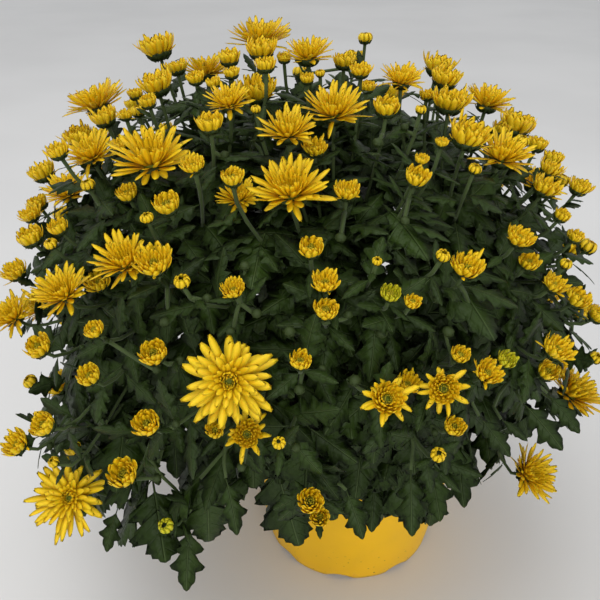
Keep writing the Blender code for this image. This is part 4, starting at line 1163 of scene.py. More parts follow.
def add_petals(gatherer, ring, place, size, draw, shape, tint, finish, width_at=petal_width, droop=0.0):
    """One ring of petals or bracts, drawn with small differences. Each is a closed thin blade."""
    rows, columns = shape
    count = ring.count
    u = np.linspace(0, 1, rows) ** PETAL_ROW_SPACING
    v = np.linspace(-1, 1, columns)
    stray = min(PETAL_MOST_STRAY, PETAL_LEAST_STRAY + PETAL_STRAY * ring.uneven)
    places = np.arange(count) + draw.uniform(-stray, stray, count) + draw.uniform(0, 1)
    turn = places * 2 * math.pi / count
    length = size * ring.length * (1 + ring.uneven * draw.uniform(*PETAL_LENGTHS, count))
    start = stray_slopes(ring.start, PETAL_ROOT_STRAY, ring, draw)
    end = stray_slopes(ring.end, PETAL_TIP_STRAY, ring, draw)
    bend = start[:, None] + (end - start)[:, None] * u
    middle = (bend[:, 1:] + bend[:, :-1]) / 2
    steps = np.diff(u) * length[:, None]
    zero = np.zeros((count, 1))
    reach = size * ring.root + np.concatenate([zero, np.cumsum(np.cos(middle) * steps, 1)], 1)
    reach += size * PETAL_STAGGER * (np.arange(count) % 2)[:, None] * u
    height = size * ring.height + np.concatenate([zero, np.cumsum(np.sin(middle) * steps, 1)], 1)
    half = 0.5 * ring.width * size * width_at(u) * draw.uniform(*PETAL_WIDTHS, (count, 1))
    across = half[..., None] * v
    grooves = PETAL_GROOVES * np.cos(PETAL_GROOVE_WAVE * math.pi * v) * (1 - v**2)
    lift = half[..., None] * (ring.cup * v**2 + grooves)
    twist = PETAL_TWIST + draw.normal(0, ring.uneven, (count, 1)) * u
    bent = draw.normal(0, PETAL_SIDE_BEND * ring.uneven, (count, 1)) * length[:, None] * u**2
    sideways = across * np.cos(twist)[..., None] - lift * np.sin(twist)[..., None] + bent[..., None]
    raised = across * np.sin(twist)[..., None] + lift * np.cos(twist)[..., None]
    notch = PETAL_NOTCH * length[:, None, None] * (1 - np.abs(v)) * (u**PETAL_NOTCH_CURVE)[None, :, None]
    out_x, out_z = np.cos(bend)[..., None], np.sin(bend)[..., None]
    c, s = np.cos(turn)[:, None, None], np.sin(turn)[:, None, None]

    def surface(rise):
        up = raised + rise
        radial = reach[..., None] - out_z * up - out_x * notch
        z = height[..., None] + out_x * up - out_z * notch
        return np.stack([radial * c - sideways * s, radial * s + sideways * c, z], -1)

    skin = PETAL_THICKNESS / 2 * np.ones((1, rows, 1)) * (1 - v**2)
    upper, lower = surface(skin), surface(-skin)[:, 1:-1, 1:-1]
    turned_by = np.array(place.to_3x3())
    along = np.concatenate([np.repeat(u, columns), np.repeat(u[1:-1], columns - 2)])
    sides = np.concatenate([np.tile(v, rows), np.tile(v[1:-1], rows - 2)])
    below = np.concatenate([np.zeros(rows * columns), np.ones((rows - 2) * (columns - 2))])
    for k in range(count):
        points = np.concatenate([upper[k].reshape(-1, 3), lower[k].reshape(-1, 3)]) @ turned_by.T
        points += np.array(place.translation)
        points[:, 2] -= droop * size * along**2
        lightness = np.clip(tint + draw.normal(0, PETAL_TINT_STRAY), 0, 1 if tint > 1 else MOST_TINT)
        gatherer.add(points, blade_faces(rows, columns), finish, along, sides, below, lightness)


# Petals, heart and green cup of a head


def cosine_to_eye(head):
    """Cosine of the angle between the way that a head faces and the way to the eye."""
    return head.facing.dot((EYE - head.base).normalized())


def head_kind(head):
    """Open heads turned to the eye lie flat or, when small, are baskets, and the others bowls of petals."""
    if head.kind != "open":
        return head.kind
    if head.radius < BASKET_RADIUS and cosine_to_eye(head) > BASKET_WITHIN:
        return "basket"
    return "open" if cosine_to_eye(head) > FLAT_WITHIN else "bowl"


def head_draw(head):
    """A generator of its own for each head, from its place, so that no head's petals change another's."""
    return np.random.default_rng([SEED, *(int(abs(x) * MICROMETRES) for x in (head.base.x, head.base.z))])


def add_flower(gatherer, head):
    """All petals of a head, and the green heart that its inner petals bend over."""
    kind = head_kind(head)
    draw = head_draw(head)
    place = head_matrix(head)
    tint = draw.uniform(*HEAD_TINTS)
    if head.young:
        tint = YOUNG_TINT
    droop = PETAL_DROOP if head.kind == "open" else 0.0
    for ring in RINGS[kind]:
        shape = PETAL_SHAPES[kind]
        add_petals(gatherer, ring, place, head.radius, draw, shape, tint, ring.green, droop=droop)
    turned(gatherer, scaled(HEART_OUTLINE, head.radius), CALYX_SIDES, place, 1, tint)


def add_calyx(gatherer, head):
    """The green cup that holds a head, with two rings of bracts."""
    place = head_matrix(head)
    outline = scaled(CALYX_OUTLINES[head.kind], head.radius)
    draw = head_draw(head)
    turned(gatherer, [(0, outline[0][1]), *outline, (0, outline[-1][1])], CALYX_SIDES, place, 1)
    for ring in BRACT_RINGS[head.kind]:
        tint = draw.uniform(*HEAD_TINTS)
        add_petals(gatherer, ring, place, head.radius, draw, BRACT_SHAPE, tint, 1, bract_width)


# Stalks and branches


def stalk_curve(head):
    """A stalk rises from its fork and turns into the way that its head faces."""
    run = (head.base - head.fork).length
    rises = ((head.base - head.fork).normalized() + UP * STALK_RISE).normalized()
    end = head.base - head.facing * head.radius * STALK_IN_HEAD
    first, last = STALK_HANDLES
    return bezier((head.fork, end), (head.fork + rises * run * first, end - head.facing * run * last))


def stem_top(stem):
    return root_of(stem) + UP * (CORE_FOOT + MAIN_STEM_IN_CORE)


def branch_curve(start, end, run_on):
    """A branch from a main stem's top to a fork, leaving upwards and ending along what it carries."""
    run = (end - start).length
    first, last = BRANCH_HANDLES
    return bezier((start, end), (start + UP * run * first, end - run_on.normalized() * run * last))


def nearest_on_stalks(point, stem, stalks, stretch):
    """The point of this stem's stalks that is nearest to a place, and the way that its stalk runs there."""
    best = None
    for head, path in stalks:
        if head.stem != stem:
            continue
        low, high = (int(share * len(path)) for share in stretch)
        gaps = np.linalg.norm(path[low:high] - np.array(point), axis=1)
        k = int(gaps.argmin())
        if best is None or gaps[k] < best[0]:
            best = (gaps[k], Vector(path[low + k]), Vector(path[low + k + 1] - path[low + k]))
    return best[1], best[2]


# Fine leaves, and where the scene has more of them than the solids


@functools.lru_cache(maxsize=None)
def leaf_template(edge):
    """A leaf's points as places along and across it, which are below, how far each swells, and its faces."""
    ribs = [0.0]
    for x, y in edge[1:]:
        ribs.append(max(x - LEAF_VEIN_SLOPE * y, ribs[-1] + LEAST_RIB_STEP))
    ribs[-1] = 1.0
    grid = np.array([((x, -y), (rib, 0.0), (x, y)) for (x, y), rib in zip(edge, ribs)])
    rows, columns, _ = grid.shape
    inner = grid[1:-1, 1:-1].reshape(-1, 2)
    points = np.concatenate([grid.reshape(-1, 2), inner])
    below = np.concatenate([np.zeros(rows * columns), np.ones(len(inner))])
    swell = np.zeros((rows, columns))
    swell[1:-1, 1:-1] = 0.5
    swell = np.concatenate([swell.ravel(), np.full(len(inner), -0.5)])
    return points[:, 0], points[:, 1], below, swell, blade_faces(rows, columns)


def leaf_edge(leaf):
    if leaf.length < SMALL_LEAF_BELOW:
        return SMALL_LEAF_EDGE
    return LEAF_EDGE if leaf.length > MIDDLE_LEAF_BELOW else MIDDLE_LEAF_EDGE


def add_fine_leaf(gatherer, leaf, draw):
    """A lobed and toothed blade with a sunk midrib and a waved edge, on its own short stalk."""
    x, y, below, swell, faces = leaf_template(leaf_edge(leaf))
    wide = y * draw.uniform(*LEAF_LOBE_WIDTHS)
    arch = LEAF_ARCH * draw.uniform(*LEAF_ARCHES)
    fold = LEAF_FOLD * draw.uniform(*LEAF_FOLDS)
    waves = np.sin(draw.uniform(*LEAF_WAVE_STARTS) + x * draw.uniform(*LEAF_WAVE_RATES))
    bend = draw.normal(0, LEAF_SIDE_BEND) * x**2
    drop = arch * x**2 + fold * np.abs(wide) ** LEAF_FOLD_CURVE
    drop -= LEAF_EDGE_WAVE * waves * np.abs(y)
    drop -= LEAF_PUFF * np.minimum(1, np.abs(wide) * LEAF_PUFF_SLOPE)
    flat = np.outer(x, leaf.along) + np.outer(wide + bend, leaf.across) - np.outer(drop, leaf.upper)
    points = np.array(leaf.foot) + flat * leaf.length + np.outer(swell * LEAF_SKIN, leaf.upper)
    tint = np.clip(draw.normal(LEAF_TINT, LEAF_TINT_STRAY), 0, 1)
    gatherer.add(points, faces, 0, x, y, below, tint)


class ClearAir:
    """Tests points against all heads at once."""

    def __init__(self, heads, margin):
        self.middles = np.array([head.middle for head in heads])
        self.facings = np.array([head.facing for head in heads])
        self.wide = np.array([head.radius * HEAD_WIDTH + margin for head in heads])
        self.deep = np.array([head.tall * HEAD_HALF_DEPTH + margin for head in heads])

    def holds(self, cloud):
        away = cloud[:, None] - self.middles
        along = (away * self.facings).sum(2)
        across = (away**2).sum(2) - along**2
        return bool((across / self.wide**2 + (along / self.deep) ** 2 >= 1).all())


def leaf_is_free(leaf, air):
    points = leaf.test_points()
    if any(p.z < SCENE_LOWEST_LEAF or meets_pot(p) or hangs_too_low(p) for p in points):
        return False
    return air.holds(np.array(points))


def spray(leaf, draw):
    """A large leaf as a twig's end with several smaller leaves, which together fill its place."""
    leaves = []
    for start, turn, size in SPRAY_SHARES:
        turned_by = Matrix.Rotation(turn + draw.uniform(-SPRAY_STRAY, SPRAY_STRAY), 3, leaf.upper)
        upper = leaf.upper + leaf.across * turn * SPRAY_TILT
        upper += leaf.along * draw.uniform(-SPRAY_STRAY, SPRAY_STRAY)
        foot = leaf.foot + leaf.along * (leaf.length * start)
        length = leaf.length * size * draw.uniform(*SPRAY_SIZES)
        leaves.append(Leaf(leaf.stem, foot, turned_by @ leaf.along, upper, length))
    return leaves


def add_first_free(leaves, candidates, air):
    """Adds the first of the candidate leaves that has room."""
    for leaf in candidates:
        if leaf_is_free(leaf, air):
            leaves.append(leaf)
            return


def shoot_leaf(stem, foot, draw):
    """A leaf that hangs outwards from a place on a low shoot."""
    azimuth = math.atan2(foot.y, foot.x - PLANT_AXIS.x)
    out = level_unit(azimuth + draw.uniform(-SHOOT_LEAF_STRAY, SHOOT_LEAF_STRAY))
    along = out * draw.uniform(*SHOOT_LEAF_OUTWARD) - UP * draw.uniform(*SHOOT_LEAF_FALL)
    return Leaf(stem, foot, along, out + UP, draw.uniform(*SHOOT_LEAF_LENGTHS))


def shoot_leaves(shoots, air):
    """More leaves along the low shoots, wherever there is room."""
    draw = random.Random(SHOOT_LEAF_SEED)
    leaves = []
    for start, end, first in shoots:
        for share in SHOOT_LEAF_PLACES:
            foot = start.lerp(end, share)
            candidates = (shoot_leaf(first.stem, foot, draw) for _ in range(SHOOT_LEAF_TRIES))
            add_first_free(leaves, candidates, air)
    return leaves


def fill_leaves(air):
    """Large leaves on twigs between the stalks all over the dome, which close the gaps there."""
    draw = random.Random(FILL_SEED)
    leaves = []
    for k in range(FILL_TWIGS):
        sine = lattice_sine(k, FILL_TWIGS, FILL_LOWEST)
        foot = dome_point(k * GOLDEN_ANGLE + FILL_PHASE, sine, draw.uniform(*FILL_SHARES))
        out, down = outward_and_down(foot)
        length = draw.uniform(*FILL_LENGTHS)
        spread = draw.uniform(*FILL_SPREADS)
        ways = [
            Matrix.Rotation(turn, 3, out) @ down * math.sin(spread) + out * math.cos(spread)
            for turn in FILL_TURNS
        ]
        stem = stem_under(foot)
        add_first_free(leaves, (Leaf(stem, foot, way, out + UP * UPWARD_LEAN, length) for way in ways), air)
    return leaves


def outline_leaves():
    """The leaves that stand out at the plant's outline in the photograph, across the sight lines there."""
    leaves = []
    for foot_x, foot_y, tip_x, tip_y in OUTLINE_LEAVES:
        foot = on_dome(foot_x, foot_y, OUTLINE_LEAF_SHARE)
        tip = EYE + sight_line(tip_x, tip_y) * (foot - EYE).length
        along = tip - foot
        upper = EYE - foot + UP * OUTLINE_LEAF_RISE
        leaves.append(Leaf(stem_under(foot), foot, along, upper, along.length))
    return leaves


def stalk_leaves(stalks, air):
    """Leaves up the stalks, each turned by the golden angle from the last, smaller towards the head."""
    draw = random.Random(STALK_LEAF_SEED)
    leaves = []
    for head, path in stalks:
        azimuth = draw.uniform(0, 2 * math.pi)
        for share, length in STALK_LEAF_PLACES:
            azimuth += GOLDEN_ANGLE
            at = share * (len(path) - 1)
            k = int(at)
            foot = Vector(path[k] + (path[k + 1] - path[k]) * (at - k))
            run = Vector(path[k + 1] - path[k]).normalized()
            u, v = side_axes(run)
            longest = length * draw.uniform(*STALK_LEAF_LENGTHS)
            spread = draw.uniform(*STALK_LEAF_SPREAD)
            outs = [u * math.cos(azimuth + turn) + v * math.sin(azimuth + turn) for turn in STALK_LEAF_TURNS]
            candidates = (
                Leaf(
                    head.stem,
                    foot,
                    run * math.cos(spread) + out * math.sin(spread),
                    run + UP * STALK_LEAF_RISE + out * STALK_LEAF_LEAN,
                    longest * size,
                )
                for out in outs
                for size in STALK_LEAF_SIZES
            )
            add_first_free(leaves, candidates, air)
    return leaves


# Finishes


class Nodes:
    """Builds one material's nodes, with short calls for the kinds used here."""

    def __init__(self, name, roughness, **sockets):
        self.material = bpy.data.materials.new(name)
        self.material.use_nodes = True
        self.tree = self.material.node_tree
        self.shader = self.tree.nodes["Principled BSDF"]
        self.shader.inputs["Roughness"].default_value = roughness
        for label, value in sockets.items():
            self.shader.inputs[label.replace("_", " ")].default_value = value

    def new(self, kind, **settings):
        node = self.tree.nodes.new(kind)
        for label, value in settings.items():
            setattr(node, label, value)
        return node

    def link(self, output, target):
        self.tree.links.new(output, target)

    def put(self, socket, value):
        if isinstance(value, bpy.types.NodeSocket):
            self.link(value, socket)
        else:
            socket.default_value = value

    def mark(self, label):
        return self.new("ShaderNodeAttribute", attribute_name=label).outputs["Fac"]

    def math(self, operation, a, b=0.0):
        node = self.new("ShaderNodeMath", operation=operation)
        for socket, value in zip(node.inputs, (a, b)):
            self.put(socket, value)
        return node.outputs[0]

    def times(self, a, b):
        return self.math("MULTIPLY", a, b)

    def ramp(self, value, low, high, from_value=0.0, to_value=1.0):
        """A value stretched from one range to another, held at both ends, smoothly."""
        node = self.new("ShaderNodeMapRange", interpolation_type="SMOOTHSTEP")
        for socket, number in zip(node.inputs, (value, low, high, from_value, to_value)):
            self.put(socket, number)
        return node.outputs[0]

    def noise(self, scale, detail, vector=None):
        node = self.new("ShaderNodeTexNoise")
        node.inputs["Scale"].default_value = scale
        node.inputs["Detail"].default_value = detail
        self.link(vector or self.place(), node.inputs["Vector"])
        return node.outputs["Fac"]

    def place(self):
        return self.new("ShaderNodeTexCoord").outputs["Object"]

    def vector(self, x, y, z):
        node = self.new("ShaderNodeCombineXYZ")
        for socket, value in zip(node.inputs, (x, y, z)):
            self.put(socket, value)
        return node.outputs[0]

    def mix(self, share, a, b):
        node = self.new("ShaderNodeMix", data_type="RGBA")
        self.put(node.inputs[0], share)
        for socket, value in ((node.inputs[6], a), (node.inputs[7], b)):
            self.put(socket, (*value, 1) if isinstance(value, tuple) else value)
        return node.outputs[2]

    def colour(self, socket):
        self.link(socket, self.shader.inputs["Base Color"])

    def rough(self, socket):
        self.link(socket, self.shader.inputs["Roughness"])

    def bump(self, height, strength, distance):
        node = self.new("ShaderNodeBump")
        node.inputs["Strength"].default_value = strength
        node.inputs["Distance"].default_value = distance
        self.link(height, node.inputs["Height"])
        self.link(node.outputs[0], self.shader.inputs["Normal"])


def shade(colour, factor):
    return tuple(channel * factor for channel in colour)


def colour_of(name):
    """A colour from the settings."""
    return tuple(getattr(bpy.context.scene.plant_colours, name))


@functools.lru_cache(maxsize=None)
def petal_finish():
    """Satin yellow: warmer at the root and in the heart, with fine lengthwise streaks, paler below."""
    yellow, warm = colour_of("petal"), colour_of("petal_root")
    made = Nodes("petal", 0.48, Subsurface_Weight=0.12, Subsurface_Scale=0.002, Specular_IOR_Level=0.3)
    along, across, tint = made.mark("along"), made.mark("across"), made.mark("tint")
    base = made.mix(made.ramp(along, 0.0, 0.55, 1.0, 0.0), yellow, warm)
    base = made.mix(made.times(tint, 0.35), base, shade(yellow, 1.25))
    base = made.mix(made.ramp(tint, MOST_TINT, 1.0, 0.0, 0.9), base, YOUNG_PETAL)
    streak_place = made.vector(made.times(across, STREAKS_ACROSS), made.times(along, STREAKS_ALONG), tint)
    streaks = made.noise(1.0, 2.0, streak_place)
    base = made.mix(made.ramp(streaks, 0.45, 0.75, 0.0, 0.35), base, warm)
    made.colour(made.mix(made.times(made.mark("side"), 0.30), base, shade(yellow, 0.72)))
    made.bump(streaks, 0.5, 0.0004)
    return made.material


@functools.lru_cache(maxsize=None)
def heart_finish():
    """The green heart of a head and its unopened florets, yellower at their tips."""
    heart, tip = colour_of("heart"), colour_of("heart_tip")
    made = Nodes("heart", 0.55, Specular_IOR_Level=0.25)
    grain = made.noise(HEART_GRAIN, 2.0)
    base = made.mix(made.ramp(made.mark("along"), 0.3, 1.0), heart, tip)
    made.colour(made.mix(made.times(grain, 0.4), base, shade(heart, 0.5)))
    made.bump(grain, 0.6, 0.0005)
    return made.material


@functools.lru_cache(maxsize=None)
def leaf_finish():
    """Dark green with a paler midrib and side veins, a little uneven, and greyer below."""
    green = colour_of("leaf")
    made = Nodes("leaf", 0.55, Specular_IOR_Level=0.22)
    along, across = made.mark("along"), made.math("ABSOLUTE", made.mark("across"))
    rib = made.ramp(across, 0.004, 0.016, 1.0, 0.0)
    slanted = made.math("SUBTRACT", along, made.times(across, LEAF_VEIN_SLOPE))
    wave = made.math("ABSOLUTE", made.math("SINE", made.times(slanted, LEAF_SIDE_VEINS)))
    side_veins = made.times(made.ramp(wave, 0.0, 0.16, 1.0, 0.0), made.ramp(across, 0.20, 0.02, 0.0, 1.0))
    veins = made.math("MAXIMUM", rib, made.times(side_veins, 0.45))
    cells = made.noise(LEAF_CELLS, 4.0)
    patches = made.noise(LEAF_PATCHES, 2.0)
    base = made.mix(made.ramp(patches, 0.35, 0.7), shade(green, 0.70), shade(green, 1.30))
    base = made.mix(made.ramp(made.mark("tint"), 0.1, 0.95), base, shade(green, 1.5))
    base = made.mix(made.times(cells, 0.30), base, shade(green, 0.6))
    base = made.mix(made.times(veins, 0.75), base, colour_of("leaf_vein"))
    made.colour(made.mix(made.times(made.mark("side"), 0.8), base, colour_of("leaf_below")))
    made.rough(made.ramp(cells, 0.2, 0.8, 0.42, 0.62))
    relief = made.math("SUBTRACT", made.times(cells, 0.4), made.times(veins, 0.7))
    relief = made.math("ADD", relief, made.times(made.noise(LEAF_PUCKERS, 1.0), 0.9))
    made.bump(relief, 0.85, 0.0022)
    return made.material


@functools.lru_cache(maxsize=None)
def stalk_finish():
    """Grey green and finely furred, with a soft sheen."""
    green = colour_of("stalk")
    made = Nodes("stalk", 0.65, Specular_IOR_Level=0.2, Sheen_Weight=0.12, Sheen_Roughness=0.5)
    fur = made.noise(STALK_FUR, 3.0)
    patches = made.noise(STALK_PATCHES, 2.0)
    base = made.mix(made.ramp(patches, 0.3, 0.7), shade(green, 0.75), shade(green, 1.2))
    made.colour(made.mix(made.times(fur, 0.3), base, shade(green, 1.6)))
    made.bump(fur, 0.5, 0.0004)
    return made.material


@functools.lru_cache(maxsize=None)
def bract_finish():
    """The green cups under the heads: bracts darker in the middle, with a pale edge."""
    green = colour_of("bract")
    made = Nodes("bract", 0.6, Specular_IOR_Level=0.25)
    edge = made.ramp(made.math("ABSOLUTE", made.mark("across")), 0.55, 1.0)
    base = made.mix(made.times(edge, 0.5), shade(green, 0.8), shade(green, 1.9))
    fur = made.noise(BRACT_FUR, 2.0)
    made.colour(made.mix(made.times(fur, 0.35), base, shade(green, 1.5)))
    made.bump(fur, 0.4, 0.0003)
    return made.material


@functools.lru_cache(maxsize=None)
def pot_finish():
    """Smooth moulded plastic: faintly uneven, with a matt haze, a few specks of dirt low on the wall, and
    painted shade round the foot.
    """
    plastic = colour_of("pot")
    made = Nodes("pot_plastic", 0.45, Specular_IOR_Level=0.25)
    haze = made.noise(POT_HAZE, 3.0)
    base = made.mix(made.ramp(haze, 0.3, 0.7), shade(plastic, 0.93), shade(plastic, 1.07))
    place = made.new("ShaderNodeSeparateXYZ")
    made.link(made.place(), place.inputs[0])
    height = place.outputs["Z"]
    low = made.ramp(height, FOOT_SHADE_BELOW, SPECKS_BELOW, 1.0, 0.0)
    specks = made.ramp(made.noise(POT_SPECKS, 1.0), 0.70, 0.76)
    base = made.mix(made.times(made.times(specks, low), 0.7), base, SPECK_COLOUR)
    # Painted shade: the plastic darkens towards its lower edge, most where the pot meets the floor
    made.colour(made.mix(made.ramp(height, 0.0, FOOT_SHADE_BELOW, 0.35, 0.0), base, FOOT_SHADE_COLOUR))
    made.rough(made.ramp(haze, 0.2, 0.8, 0.34, 0.50))
    made.bump(made.noise(POT_RIPPLES, 2.0), 0.15, 0.0003)
    return made.material


@functools.lru_cache(maxsize=None)
def soil_finish():
    """Moist peat and bark: nearly black crumbs with brown fibres."""
    peat = colour_of("soil")
    made = Nodes("potting_soil", 0.92, Specular_IOR_Level=0.2)
    crumbs = made.noise(SOIL_GRAIN, 6.0)
    fibres = made.noise(SOIL_FIBRES, 3.0)
    base = made.mix(made.ramp(crumbs, 0.35, 0.65), shade(peat, 0.5), shade(peat, 1.5))
    made.colour(made.mix(made.ramp(fibres, 0.58, 0.70, 0.0, 0.6), base, shade(peat, 3.2)))
    made.bump(crumbs, 1.0, 0.0015)
    return made.material


# Pieces


def keep(obj, nodes):
    """The piece rides on the body and stands for its solids."""
    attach(obj, BODY)
    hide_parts(*nodes)


class Plant:
    """Everything that is placed once and that several pieces share."""

    def __init__(self):
        self.heads = all_heads()
        large = [head for head in self.heads if head.kind in ("open", "half")]
        self.blooms = sorted(large, key=lambda head: -head.radius)[:MOST_HEAD_NODES]
        self.leaves = []
        self.shoots = low_shoots(self.heads, self.leaves)
        canopy_leaves(self.heads, self.leaves)
        for head in self.heads:
            if head.kind != "open" or cosine_to_eye(head) < FLAT_WITHIN:
                head.facing = (head.facing + UP * FINE_LEAN).normalized()
        self.stalks = [(head, stalk_curve(head)) for head in self.heads]
        air = ClearAir(self.heads, SCENE_LEAF_CLEARANCE)
        self.more_leaves = [*stalk_leaves(self.stalks, air), *shoot_leaves(self.shoots, air)]
        self.outline_leaves = outline_leaves()
        on_shoots = {id(leaf) for _, _, leaf in self.shoots}
        self.twig_leaves = [leaf for leaf in self.leaves if id(leaf) not in on_shoots] + fill_leaves(air)
        for px, py in YOUNG_HEADS:
            place = on_dome(px, py)
            min(self.heads, key=lambda head: (head.base - place).length).young = True
        self.buds = green_buds(self.heads, self.stalks)


@functools.lru_cache(maxsize=1)
def plant():
    return Plant()


class GreenBud:
    """A tiny closed bud on a side stalk."""

    kind = "bud"

    def __init__(self, point, radius, draw):
        self.radius = radius
        self.facing = growing_way(point, draw)
        self.turn = draw.uniform(0, 2 * math.pi)
        self.stem = stem_under(point)
        self.base = point


def green_buds(heads, stalks):
    """The green buds of the photograph, then others on the far side, where no head is in their way."""
    draw = random.Random(GREEN_BUD_SEED)
    places = [on_dome(px, py, GREEN_BUD_SHARE) for px, py in GREEN_BUDS]
    for k in range(FAR_GREEN_BUDS):
        sine = lattice_sine(k, FAR_GREEN_BUDS, FAR_LOWEST)
        point = dome_point(k * GOLDEN_ANGLE + FAR_GREEN_BUD_PHASE, sine, GREEN_BUD_SHARE)
        if faces_away(point):
            places.append(point)
    air = ClearAir(heads, GREEN_BUD_RADIUS)
    buds = []
    for point in places:
        bud = GreenBud(point, GREEN_BUD_RADIUS * draw.uniform(*GREEN_BUD_SIZES), draw)
        if air.holds(np.array([point, point + bud.facing * bud.radius * GREEN_BUD_HEIGHT])):
            bud.rises_from, bud.rises_along = nearest_on_stalks(point, bud.stem, stalks, BUD_TWIG_STRETCH)
            buds.append(bud)
    return buds


def rounded(outline, radius):
    """An outline with its inner corners turned into arcs."""
    made = [Vector(outline[0])]
    for before, corner, after in zip(outline, outline[1:], outline[2:]):
        corner = Vector(corner)
        back, on = Vector(before) - corner, Vector(after) - corner
        reach = min(radius, back.length * MOST_ROUNDING, on.length * MOST_ROUNDING)
        start, end = corner + back.normalized() * reach, corner + on.normalized() * reach
        for k in range(ROUNDING_STEPS + 1):
            t = k / ROUNDING_STEPS
            made.append(start * (1 - t) ** 2 + corner * 2 * t * (1 - t) + end * t**2)
    made.append(Vector(outline[-1]))
    return [tuple(p) for p in made]


def arch_height(azimuth):
    """Height of the foot ring's lower edge, which rises over each drain arch."""
    spacing = 2 * math.pi / NOTCHES
    off = (azimuth - FIRST_NOTCH + spacing / 2) % spacing - spacing / 2
    across = off * POT_FOOT_RADIUS
    arch_radius = ((NOTCH_WIDTH / 2) ** 2 + NOTCH_RISE**2) / (2 * NOTCH_RISE)
    if abs(across) >= NOTCH_WIDTH / 2:
        return 0.0
    return math.sqrt(arch_radius**2 - across**2) - (arch_radius - NOTCH_RISE)


def pot_outline():
    """The pot's wall and floor, from the middle of its underside round to the middle of its inside."""
    under_rim = POT_HEIGHT - RIM_HEIGHT
    channel_top = CHANNEL_RISE + POT_WALL
    corners = [
        (MIDDLE_FOOT_RADIUS / 2, 0),
        (MIDDLE_FOOT_RADIUS, 0),
        (MIDDLE_FOOT_RADIUS, CHANNEL_RISE),
        (POT_FOOT_RADIUS - POT_WALL, CHANNEL_RISE),
        (POT_FOOT_RADIUS - POT_WALL, 0),
        (POT_FOOT_RADIUS, 0),
        (wall_radius(ARCH_ROW), ARCH_ROW),
        (wall_radius(under_rim), under_rim),
        (wall_radius(under_rim) + RIM_OVERHANG, under_rim),
        (POT_MOUTH_RADIUS + RIM_OVERHANG, POT_HEIGHT),
        (POT_MOUTH_RADIUS - POT_WALL, POT_HEIGHT),
        (wall_radius(channel_top) - POT_WALL, channel_top),
        (MIDDLE_FOOT_RADIUS - POT_WALL, channel_top),
        (MIDDLE_FOOT_RADIUS - POT_WALL, POT_WALL),
        (MIDDLE_FOOT_RADIUS / 2, POT_WALL),
    ]
    return [(0, 0), *rounded(corners, POT_ROUNDING), (0, POT_WALL)]


def drain_cutters():
    """A collection of cylinders that cut the drain holes in the raised channel."""
    cutters = bpy.data.collections.new("drain_cutters")
    half = CUTTER_DEPTH / 2
    cylinder = [(0, -half), (DRAIN_RADIUS, -half), (DRAIN_RADIUS, half), (0, half)]
    for k in range(DRAIN_HOLES):
        azimuth = (k + 0.5) * 2 * math.pi / DRAIN_HOLES
        centre = level_unit(azimuth) * DRAIN_CIRCLE + UP * CHANNEL_RISE
        drill = Gatherer()
        turned(drill, cylinder, DRAIN_SIDES, Matrix.Translation(centre))
        cutter = drill.object(f"drain_{k + 1}", [pot_finish()])
        bpy.context.scene.collection.objects.unlink(cutter)
        cutters.objects.link(cutter)
    return cutters


def make_pot():
    """The pot's shell with a rounded rim, drain arches in its foot ring and holes in its raised channel."""
    shell = Gatherer()
    turned(shell, pot_outline(), FINE_POT_SIDES)
    for point in shell.points[0]:
        reach = math.hypot(point[0], point[1])
        if reach > (MIDDLE_FOOT_RADIUS + POT_FOOT_RADIUS) / 2 and point[2] < NOTCH_RISE:
            point[2] = max(point[2], arch_height(math.atan2(point[1], point[0])))
    pot = shell.object("pot_shell", [pot_finish()])
    cutters = drain_cutters()
    cut = pot.modifiers.new("drains", "BOOLEAN")
    cut.operation = "DIFFERENCE"
    cut.operand_type = "COLLECTION"
    cut.collection = cutters
    cut.solver = "EXACT"
    baked = bpy.data.meshes.new_from_object(pot.evaluated_get(bpy.context.evaluated_depsgraph_get()))
    pot.modifiers.clear()
    pot.data = baked
    baked.shade_smooth()
    baked.set_sharp_from_angle(angle=SHARP_POT_ANGLE)
    for cutter in list(cutters.objects):
        bpy.data.objects.remove(cutter)
    bpy.data.collections.remove(cutters)
    keep(pot, ["pot"])


def make_soil():
    """A crumbly bed of soil that fills the pot, with crumbs of bark on it."""
    low = CHANNEL_RISE + POT_WALL + FIT_GAP
    gap = POT_WALL + 2 * FIT_GAP
    edge = wall_radius(SOIL_TOP) - gap
    shares = [k / FINE_SOIL_RINGS for k in reversed(range(FINE_SOIL_RINGS))]
    top = [(edge * share, SOIL_TOP + SOIL_CROWN * (1 - share)) for share in shares]
    bed = Gatherer()
    turned(bed, [(0, low), (wall_radius(low) - gap, low), (edge, SOIL_TOP), *top], FINE_SOIL_SIDES)
    for point in bed.points[0]:
        if point[2] >= SOIL_TOP - FIT_GAP:
            inside = min(1.0, (edge - math.hypot(point[0], point[1])) / SOIL_EDGE_FADE)
            place = Vector(point) * SOIL_LUMP_SCALE
            lump = noise.fractal(place, SOIL_LUMP_FADE, SOIL_LUMP_GAIN, SOIL_LUMP_OCTAVES)
            point[2] += SOIL_LUMPS * inside * lump
    draw = random.Random(CRUMB_SEED)
    for _ in range(SOIL_CRUMBS):
        azimuth = draw.uniform(0, 2 * math.pi)
        reach = edge * math.sqrt(draw.random()) * CRUMB_REACH
        size = draw.uniform(*CRUMB_SIZES)
        height = SOIL_TOP + SOIL_CROWN * (1 - reach / edge) + size * CRUMB_RISE
        turn = draw.uniform(*CRUMB_TURNS)
        axis = Vector((draw.random(), draw.random(), 0.5)).normalized()
        place = Matrix.Translation(level_unit(azimuth) * reach + UP * height)
        turned(bed, scaled(CRUMB_OUTLINE, size), CRUMB_SIDES, place @ Matrix.Rotation(turn, 4, axis))
    soil = bed.object("soil_bed", [soil_finish()])
    keep(soil, ["soil"])


